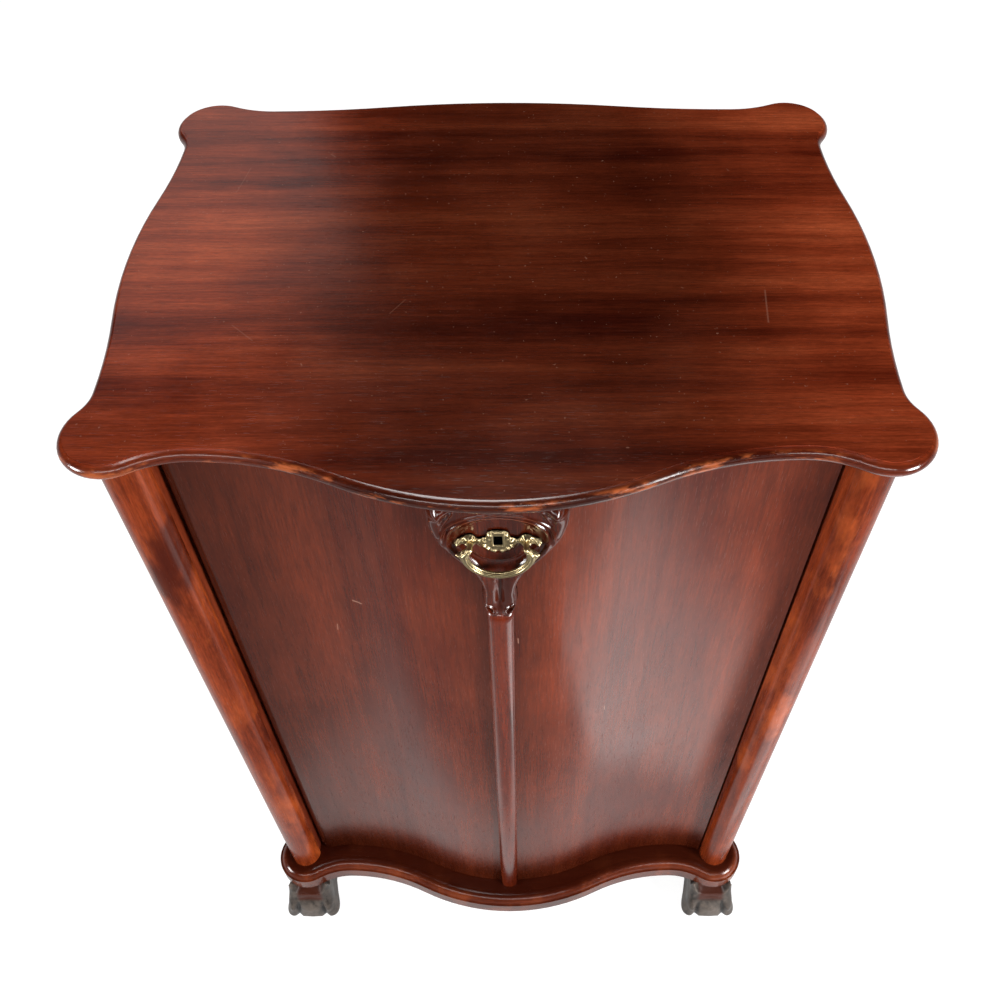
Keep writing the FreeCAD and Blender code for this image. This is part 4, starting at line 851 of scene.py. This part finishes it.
@dataclass
class BrassPull:
    """Cast pull: leafy plate with a square keyhole, two pivot heads and a reeded bail.

    Attributes:
        level: Height of the plate's middle.
        pivot: Height of the bail's pivots.
        ground: Place of the plate's back.
        pivot_y: Place of the pivots from front to back.
        post_x: Place of a pivot across.
        bail_x: Half width of the bail.
        bail_z: Height of its half ellipse.
        bail_drop: Drop of that ellipse below the pivots.
        bar: Radius of its bar.
        key: Half width, middle and half height of the keyhole.
        reach: Places across at which the plate's outline is given.
        upper: Upper edge at each of them.
        lower: Lower edge at each of them.
        lumps: Place across and up, height and radius of each leaf.
    """

    level: float = 801.5
    pivot: float = 802.0
    ground: float = -208.0
    pivot_y: float = -217.0
    post_x: float = 19.0
    bail_x: float = 22.8
    bail_z: float = 23.8
    bail_drop: float = 5.5
    bar: float = 2.3
    key: tuple[float, float, float] = (3.0, 1.0, 5.0)
    reach: Sequence[float] = (0, 3, 5.5, 7.3, 8.4, 10, 11.5, 12.8, 14.2, 16, 18.5, 21, 23.5,
                              25.5, 27.5, 29.3, 30.2)
    upper: Sequence[float] = (11.8, 11.4, 10.6, 8.6, 4.6, 4.0, 3.0, 2.8, 3.4, 6.0, 7.6, 7.0, 5.0,
                              3.6, 3.2, 2.2, 0.3)
    lower: Sequence[float] = (-11.6, -12.2, -10.6, -9.2, -8.4, -7.0, -4.2, -1.8, -2.0, -4.0, -6.6, -5.2, -2.8,
                              -3.2, -4.2, -3.2, -0.9)
    lumps: Sequence[tuple[float, float, float, float]] = (
        (27.6, -0.6, 2.8, 2.3), (24.6, 1.6, 1.4, 1.7), (21.4, 4.4, 2.2, 1.9), (18.6, 4.8, 2.6, 1.9),
        (16.0, 3.2, 1.7, 1.7), (18.6, -3.6, 2.4, 2.3), (21.6, -2.0, 1.0, 1.5), (13.0, 0.6, 1.1, 1.5),
        (9.6, -3.4, 2.3, 1.7), (7.2, -6.6, 2.2, 1.7), (9.0, 1.2, 1.8, 1.6), (6.2, 2.6, 1.0, 1.3),
        (5.6, 8.0, 2.0, 1.8), (2.4, 10.0, 1.3, 1.5), (0.0, 10.2, 1.6, 1.5), (2.6, -10.0, 2.2, 1.9),
        (5.2, -8.8, 1.5, 1.5))

    def cast(self, x: np.ndarray, z: np.ndarray, across: np.ndarray) -> np.ndarray:
        """Thickness of the casting: a domed bar, lumps for its leaves, fine veins and a lip at the keyhole.

        Args:
            x: Places across the plate.
            z: Heights from its middle.
            across: Share from the lower edge, -1, to the upper edge, 1.

        Returns:
            Thickness in millimetres.
        """
        side = np.abs(x)
        body = 0.5 + 1.3 * np.sqrt(np.clip(1.0 - across ** 4, 0.0, 1.0))
        lumps = np.array(self.lumps)[:, :, None, None]
        far = (side - lumps[:, 0]) ** 2 + (z - lumps[:, 1]) ** 2
        leaf = (lumps[:, 2] * np.exp(-far / lumps[:, 3] ** 2)).sum(axis=0)
        vein = 0.3 * np.sin(2.6 * side + 2.1 * z) * smoothstep(11.0, 14.0, side)
        lip = 0.5 * hump(self.gap(x, z) - 0.9, 0.8)
        fade = np.clip(1.0 - across ** 8, 0.0, 1.0)
        return body + (leaf + vein + lip) * fade

    def gap(self, x: np.ndarray, z: np.ndarray) -> np.ndarray:
        """Distance outside the square keyhole: the larger of the two overshoots."""
        wide, middle, tall = self.key
        return np.maximum(np.abs(x) - wide, np.abs(z - middle) - tall)

    def build_plate(self) -> bpy.types.Object:
        """Rings across the plate from tip to tip.

        Returns:
            The plate.
        """
        x = np.linspace(-self.reach[-1], self.reach[-1], 361)[:, None]
        high = flow(self.reach, self.upper, np.abs(x))
        low = flow(self.reach, self.lower, np.abs(x))
        across = np.sin(np.linspace(-1.0, 1.0, 121) * math.pi / 2)[None, :]
        z = (high + low) / 2 + (high - low) / 2 * across
        wide = x + 0 * z
        sunk = 5.5 * (1 - smoothstep(-0.3, 0.2, self.gap(wide, z)))
        front_y = self.ground - self.cast(wide, z, across + 0 * z) + sunk
        front = np.stack([wide, front_y, self.level + z], axis=-1)
        rear = np.stack([wide, self.ground + sunk + 0.02, self.level + z], axis=-1)[:, ::-3]
        return ringed("scroll_plate", np.concatenate([front, rear], axis=1))

    def build_heads(self) -> list[bpy.types.Object]:
        """Two pivot heads turned like buds about their front-to-back axis.

        Returns:
            The left and the right head.
        """
        step = np.linspace(0.0, 1.0, 40)
        radius = flow((0, 0.25, 0.5, 0.75, 0.92, 1.0), (2.6, 2.2, 1.9, 1.9, 1.4, 0.25), step)
        turn = np.linspace(0.0, 2 * math.pi, 40, endpoint=False)
        lobes = radius[:, None] * (1.0 + 0.08 * np.cos(5 * turn)[None, :])
        heads = []
        for sign, hand in ((-1, "left"), (1, "right")):
            rings = np.stack([
                sign * self.post_x + lobes * np.cos(turn)[None, :],
                (self.ground - 1.0 - 10.6 * step)[:, None] + 0 * lobes,
                self.pivot + lobes * np.sin(turn)[None, :]], axis=-1)
            heads.append(ringed("pivot_head_" + hand, rings))
        return heads

    def build_bail(self) -> bpy.types.Object:
        """Reeded bar carried round a half ellipse, with leaning arms that swell into curled leaves.

        The angle a runs from -90 to 90 degrees round the ellipse x = w sin a, z = -h cos a, and the arms lean
        in from its ends to the pivots. The bar's radius is 2.3 mm cut by reeds 1 + 0.1 cos 10p; over the
        arms it swells by a leaf with cross veins, and a curl stands out of its outer side.

        Returns:
            The bail.
        """
        share = np.linspace(-1.0, 1.0, 281)
        far = np.abs(share)
        bend = np.clip(share / 0.8, -1.0, 1.0) * math.pi / 2
        arm = np.clip((far - 0.8) / 0.2, 0.0, 1.0)
        lean = (self.bail_x - self.post_x - 1.0) * smoothstep(0.0, 1.0, arm)
        centre_x = self.bail_x * np.sin(bend) - np.sign(share) * lean
        centre_z = self.pivot - self.bail_drop - self.bail_z * np.cos(bend) + self.bail_drop * arm
        leaf = smoothstep(0.55, 0.8, far) * (1 - 0.5 * smoothstep(0.9, 1.0, far))
        size = self.bar + 0.9 * leaf - 0.9 * smoothstep(0.88, 1.0, far)
        turn = np.linspace(0.0, 2 * math.pi, 60, endpoint=False)[None, :]
        reed = 1.0 + 0.10 * np.cos(10 * turn) * (1 - 0.4 * leaf[:, None])
        vein = 0.3 * np.sin(share * 60.0)[:, None] * leaf[:, None]
        curl = 2.4 * hump(far - 0.8, 0.045)[:, None] * np.clip(np.cos(turn), 0.0, 1.0) ** 2
        radial = (size[:, None] * reed + vein + curl) * np.cos(turn)
        deep = size[:, None] * 0.95 * reed * np.sin(turn)
        rings = np.stack([centre_x[:, None] + np.sin(bend)[:, None] * radial, self.pivot_y - deep,
                          centre_z[:, None] - np.cos(bend)[:, None] * radial], axis=-1)
        return ringed("reeded_bail", rings)


@dataclass
class Paw:
    """Carved paw: a squared block with three low toes and two wings that rise before the base.

    Attributes:
        height: Height of the plain rim.
        wing: Rise of the rim at each wing.
        notch: Fall of the rim between them.
        out: Shift of the toes away from the middle of the cabinet.
        square: Power that squares the rings.
        heel: Share of the width at the heel, and what the toes have more.
        levels: Heights at which the sizes are given.
        wides: Half width at each level.
        fronts: Reach to the front at each level.
        heels: Reach to the rear at each level.
        groove: Depth, place and width of the grooves between the toes.
        knuckle: Swell, height and size of the knuckles.
        crease: Depth, height and size of the crease above them.
    """

    height: float = 63.0
    wing: float = 17.0
    notch: float = 4.0
    out: float = 3.0
    square: float = 0.3
    heel: tuple[float, float] = (0.76, 0.26)
    levels: Sequence[float] = (0, 5, 16, 30, 42, 54, 66, 80, 94)
    wides: Sequence[float] = (33.0, 33.5, 31.5, 29.5, 28.5, 27.5, 27.0, 26.5, 26.5)
    fronts: Sequence[float] = (45.5, 47.5, 48.5, 46.5, 42.5, 38.5, 36.0, 35.0, 35.0)
    heels: Sequence[float] = (24.0, 26.0, 27.0, 27.0, 26.5, 26.0, 26.0, 26.0, 26.0)
    groove: tuple[float, float, float] = (4.6, 0.52, 0.11)
    knuckle: tuple[float, float, float] = (3.0, 34.0, 8.0)
    crease: tuple[float, float, float] = (2.2, 49.0, 4.5)

    def build(self, name: str, x: float, y: float) -> bpy.types.Object:
        """Rings up the paw, then rings inwards from its rim.

        Each ring is a squared oval, sin and cos of the angle to a low power. Its height is a share of the
        rim, which is raised by a bell at each wing and lowered by one at the middle of the front. The heel is
        narrower than the toes. Two grooves part the toes low down, and a knuckle swells each toe.

        Args:
            name: Name of the piece.
            x: Ankle place across.
            y: Ankle place from front to back.

        Returns:
            The paw.
        """
        angle = np.linspace(-math.pi, math.pi, 200, endpoint=False)[None, :]
        across, along = np.sin(angle), np.cos(angle)
        rim = self.height + self.wing * hump(np.abs(angle) - 0.7, 0.34) - self.notch * hump(angle, 0.3)
        z = rim * np.linspace(0.0, 1.0, 64)[:, None]
        wide = flow(self.levels, self.wides, z)
        px = wide * np.sign(across) * np.abs(across) ** self.square
        depth = np.where(along > 0, flow(self.levels, self.fronts, z), flow(self.levels, self.heels, z))
        py = -depth * np.sign(along) * np.abs(along) ** self.square
        px = px * (self.heel[0] + self.heel[1] * smoothstep(-4.0, 40.0, -py))
        ahead = smoothstep(0.0, 0.5, along)
        share = np.abs(px) / wide
        deep, place, size = self.groove
        groove = deep * hump(share - place, size) * (1 - smoothstep(26.0, 50.0, z))
        swell, place, size = self.knuckle
        knuckle = swell * hump(z - place, size) * (hump(share, 0.26) + hump(share - 0.8, 0.15))
        deep, place, size = self.crease
        crease = deep * hump(z - place, size) * hump(share, 0.5)
        py = py + ahead * (groove - knuckle + crease)
        inward = np.linspace(0.0, 1.0, 11)[1:, None]
        px = np.concatenate([px, px[-1:] * (1.0 - 0.45 * inward)])
        py = np.concatenate([py, py[-1:] * (1.0 - 0.45 * inward)])
        z = np.concatenate([z, rim + (self.height - rim) * smoothstep(0.0, 1.0, inward)])
        shift = math.copysign(self.out, x) * (1 - z / self.height)
        return ringed(name, np.stack([x + shift + px, y + py, z], axis=-1))


class SoftShade:
    """Modifier that merges a node's loose triangles and shades them smooth up to an edge angle."""

    def __init__(self, limit: float = 0.55) -> None:
        """Build the node group; edges sharper than limit, in radians, stay sharp."""
        group = bpy.data.node_groups.new("soft_shade", "GeometryNodeTree")
        group.interface.new_socket("Geometry", in_out="INPUT", socket_type="NodeSocketGeometry")
        group.interface.new_socket("Geometry", in_out="OUTPUT", socket_type="NodeSocketGeometry")
        add, link = group.nodes.new, group.links.new
        source, sink = add("NodeGroupInput"), add("NodeGroupOutput")
        merge = add("GeometryNodeMergeByDistance")
        merge.inputs["Distance"].default_value = 1e-5
        soft = add("GeometryNodeSetShadeSmooth")
        soft.domain = "FACE"
        crisp = add("GeometryNodeSetShadeSmooth")
        crisp.domain = "EDGE"
        crisp.inputs["Shade Smooth"].default_value = False
        angle = add("GeometryNodeInputMeshEdgeAngle")
        sharp = add("FunctionNodeCompare")
        sharp.operation = "GREATER_THAN"
        sharp.inputs[1].default_value = limit
        link(source.outputs[0], merge.inputs[0])
        link(merge.outputs[0], soft.inputs[0])
        link(soft.outputs[0], crisp.inputs[0])
        link(angle.outputs[0], sharp.inputs[0])
        link(sharp.outputs[0], crisp.inputs["Selection"])
        link(crisp.outputs[0], sink.inputs[0])
        self.group = group

    def apply(self, node: bpy.types.Object) -> None:
        """Add the modifier to a node."""
        node.modifiers.new("soft_shade", "NODES").node_group = self.group


@dataclass
class Case:
    """Nodes of the case, door and fittings that keep their own shape.

    Attributes:
        uprights: Corners that have a column and a post.
        inner: Nodes of plain inner wood.
        brass: Nodes of lock brass.
        steel: Nodes of steel besides the screws.
    """

    uprights: Sequence[str] = ("front_left", "front_right", "rear_left", "rear_right")
    inner: Sequence[str] = ("floor_board", "middle_shelf", "upper_dividers", "lower_dividers", "top_cleats",
                            "shelf_cleats", "post_dowels", "foot_dowels", "back_panel", "door_stop")
    brass: Sequence[str] = ("upper_pivot_plate", "lower_pivot_plate", "upper_pivot_leaf", "lower_pivot_leaf",
                            "strike_plate", "lock_case", "lock_cap", "lock_bolt", "post_nuts", "pull_posts")
    steel: Sequence[str] = ("lock_spring", "lock_key_pin")

    def finishes(self) -> dict[str, bpy.types.Material]:
        """Material of each node.

        Returns:
            Node name to material.
        """
        upright = Timber("mahogany_upright", Grain.UPRIGHT, seed=2.0).make()
        inside = Timber("plain_inner_wood", Grain.DEEP, (0.15, 0.075, 0.035), (0.26, 0.145, 0.07),
                        (0.36, 0.22, 0.115), 20.0, 0.55, fleck=0.1, seed=5.0).make()
        brass = PlainMetal("lock_brass", (0.50, 0.36, 0.16)).make()
        steel = PlainMetal("screw_steel", (0.42, 0.41, 0.40)).make()
        column = WornTimber("mahogany_column", Grain.UPRIGHT, mid=(0.17, 0.025, 0.0060),
                            light=(0.30, 0.052, 0.0120), figure=26.0, roughness=0.2, gloss=0.14, fleck=0.1,
                            seed=4.0, worn=(0.45, 0.088, 0.018), blotch=0.85, rub=0.6, stretch=0.35).make()
        table = {name: inside for name in self.inner}
        table.update({name: brass for name in self.brass})
        table.update({
            "top_board": TopTimber(figure=10.0, roughness=0.19, fleck=0.1, spread=0.28).make(),
            "base_frame": BaseTimber("mahogany_base", Grain.ACROSS, (0.030, 0.0046, 0.0018),
                                     (0.074, 0.0125, 0.0045), (0.125, 0.0240, 0.0090), roughness=0.18,
                                     gloss=0.3, fleck=0.1, seed=7.0, worn=(0.26, 0.055, 0.016), blotch=0.5,
                                     rub=0.45).make(),
            "door_panel": DoorTimber(figure=11.0, roughness=0.23, gloss=0.3, fleck=0.08, seed=1.0,
                                     spread=0.28).make(),
        })
        for place in self.uprights:
            table[place + "_column"] = column
            table[place + "_post"] = upright
        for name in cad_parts:
            if name not in table:
                table[name] = steel if "screw" in name or name in self.steel else upright
        return table

    def dress(self, soft: SoftShade) -> None:
        """Give every node its finish and smooth shading."""
        table = self.finishes()
        for name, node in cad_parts.items():
            node.data.materials.clear()
            node.data.materials.append(table[name])
            soft.apply(node)
        LOG.info("dressed %d nodes", len(table))


def posed(right: Sequence[float], up: Sequence[float], back: Sequence[float], place: Point) -> Matrix:
    """Matrix from three axes and a place."""
    rows = [[right[i], up[i], back[i], place[i]] for i in range(3)]
    return Matrix(rows + [[0.0, 0.0, 0.0, 1.0]])


@dataclass(frozen=True)
class Lamp:
    """Soft rectangular lamp.

    Attributes:
        name: Name of the lamp.
        place: Where it hangs.
        aim: Point that it faces.
        size: Width and height.
        power: Watts.
    """

    name: str
    place: Point
    aim: Point
    size: tuple[float, float]
    power: float

    def hang(self) -> None:
        """Add the lamp, its back turned away from its aim and its width level."""
        light = bpy.data.lights.new(self.name, "AREA")
        light.shape = "RECTANGLE"
        light.size, light.size_y = self.size
        light.energy = self.power
        lamp = bpy.data.objects.new(self.name, light)
        bpy.context.scene.collection.objects.link(lamp)
        back = np.array(self.place) - np.array(self.aim)
        back = back / np.linalg.norm(back)
        side = np.cross((0.0, 0.0, 1.0), back)
        side = side / np.linalg.norm(side)
        lamp.matrix_world = posed(side, np.cross(back, side), back, self.place)


@dataclass
class Studio:
    """White floor, soft lamps, a pale horizon and the camera of the photograph.

    Attributes:
        eye: Place of the camera.
        right: Its axis to the right.
        up: Its axis upwards.
        back: Its axis away from the picture.
        lens: Focal length for a sensor of 36 mm.
        shift: Shift of the picture, in widths.
        lamps: The lamps; the panel lies on the floor and faces up.
        floor_size: Width of the floor.
        floor_cells: Cells along each side of the floor.
        horizon: Height share at which the world's light is low, its strength at the horizon and above.
    """

    eye: Point = (0.01586, -0.61113, 1.34307)
    right: Point = (0.99999, 0.00072, -0.00566)
    up: Point = (0.00302, 0.77577, 0.63101)
    back: Point = (0.00484, -0.63099, 0.77579)
    lens: float = 36.056
    shift: tuple[float, float] = (-0.01662, -0.00347)
    lamps: Sequence[Lamp] = (
        Lamp("key", (1.45, -1.15, 0.9), (0.1, -0.2, 0.5), (0.5, 0.5), 48.0),
        Lamp("fill", (-2.0, -1.0, 0.9), (-0.1, -0.2, 0.5), (0.6, 0.6), 44.0),
        Lamp("overhead", (-0.10, -0.04, 1.80), (0.0, 0.0, 0.87), (0.5, 0.5), 9.5),
        Lamp("sheen", (-1.1, 1.75, 1.9), (-0.3, 0.05, 0.87), (1.2, 1.0), 2.3),
        Lamp("panel", (0.48, -0.43, 0.004), (0.48, -0.42, 1.0), (0.46, 0.30), 0.72),
        Lamp("strip", (-0.2, -2.4, 1.9), (0.0, -0.2, 0.6), (2.6, 0.25), 24.0),
    )
    floor_size: float = 14.0
    floor_cells: int = 8
    horizon: tuple[float, float, float] = (0.28, 0.40, 0.004)

    def build(self) -> None:
        """Make the floor, world, lamps and camera."""
        self.floor()
        self.world()
        for lamp in self.lamps:
            lamp.hang()
        self.camera()
        bpy.context.scene.view_settings.view_transform = "Standard"

    def floor(self) -> None:
        """Lay a level square grid of pale cells."""
        edge = np.linspace(-self.floor_size / 2, self.floor_size / 2, self.floor_cells + 1)
        grid = np.stack(np.meshgrid(edge, edge, [0.0], indexing="ij"), axis=-1).reshape(-1, 3)
        index = np.arange(len(grid)).reshape(len(edge), len(edge))
        corners = [index[:-1, :-1], index[1:, :-1], index[1:, 1:], index[:-1, 1:]]
        mesh = bpy.data.meshes.new("studio_floor")
        mesh.from_pydata(grid.tolist(), [], np.stack(corners, axis=-1).reshape(-1, 4).tolist())
        floor = bpy.data.objects.new("studio_floor", mesh)
        bpy.context.scene.collection.objects.link(floor)
        mesh.materials.append(StudioWhite().make())

    def world(self) -> None:
        """Pale light low down all round, fading to a dim zenith."""
        world = bpy.data.worlds.new("studio_world")
        world.use_nodes = True
        tree = world.node_tree
        rise, low, high = self.horizon
        place = tree.nodes.new("ShaderNodeTexCoord")
        split = tree.nodes.new("ShaderNodeSeparateXYZ")
        fade = tree.nodes.new("ShaderNodeMapRange")
        fade.interpolation_type = "SMOOTHSTEP"
        for key, value in ((1, 0.0), (2, rise), (3, low), (4, high)):
            fade.inputs[key].default_value = value
        tree.links.new(place.outputs["Generated"], split.inputs[0])
        tree.links.new(split.outputs[2], fade.inputs[0])
        tree.links.new(fade.outputs[0], tree.nodes["Background"].inputs[1])
        tree.nodes["Background"].inputs[0].default_value = (1.0, 1.0, 1.0, 1.0)
        bpy.context.scene.world = world

    def camera(self) -> None:
        """Set the camera where the photograph was taken."""
        data = bpy.data.cameras.new("camera")
        data.sensor_fit = "HORIZONTAL"
        data.sensor_width = 36.0
        data.lens = self.lens
        data.shift_x, data.shift_y = self.shift
        camera = bpy.data.objects.new("camera", data)
        bpy.context.scene.collection.objects.link(camera)
        camera.matrix_world = posed(self.right, self.up, self.back, self.eye)
        bpy.context.scene.camera = camera


def main() -> None:
    """Build the studio, dress the nodes and add the carved and cast pieces."""
    logging.basicConfig(level=logging.INFO)
    Studio().build()
    Case().dress(SoftShade())
    carved = CarvedTimber("mahogany_carving", Grain.UPRIGHT, (0.020, 0.0022, 0.0008), (0.050, 0.0068, 0.0022),
                          (0.105, 0.0160, 0.0050), figure=40.0, roughness=0.13, gloss=0.4, fleck=0.1,
                          seed=3.0).make()
    dress(Cartouche().build(), "door", "polished_mahogany", carved, "cartouche")
    bead = Timber("mahogany_bead", Grain.UPRIGHT, figure=40.0, roughness=0.2, fleck=0.1, seed=3.0).make()
    dress(CentreBead().build(), "door", "polished_mahogany", bead, "centre_bead")
    brass = AgedBrass().make()
    pull = BrassPull()
    dress(pull.build_plate(), "door", "aged_brass", brass, "pull_plate")
    for head in pull.build_heads():
        dress(head, "door", "aged_brass", brass, "pull_posts")
    dress(pull.build_bail(), "bail", "aged_brass", brass, "pull_bail")
    paw_finish = DarkCarving().make()
    for row, paw, y in (("front", Paw(), FRONT_ANKLE_Y), ("rear", Paw(wing=0.0, notch=0.0), REAR_ANKLE_Y)):
        for hand, x in (("left", -ANKLE_X), ("right", ANKLE_X)):
            foot = paw.build(f"carved_paw_{row}_{hand}", x, y)
            dress(foot, "case", "dark_carved_wood", paw_finish, f"{row}_{hand}_paw")


if __name__ == "__main__":
    main()
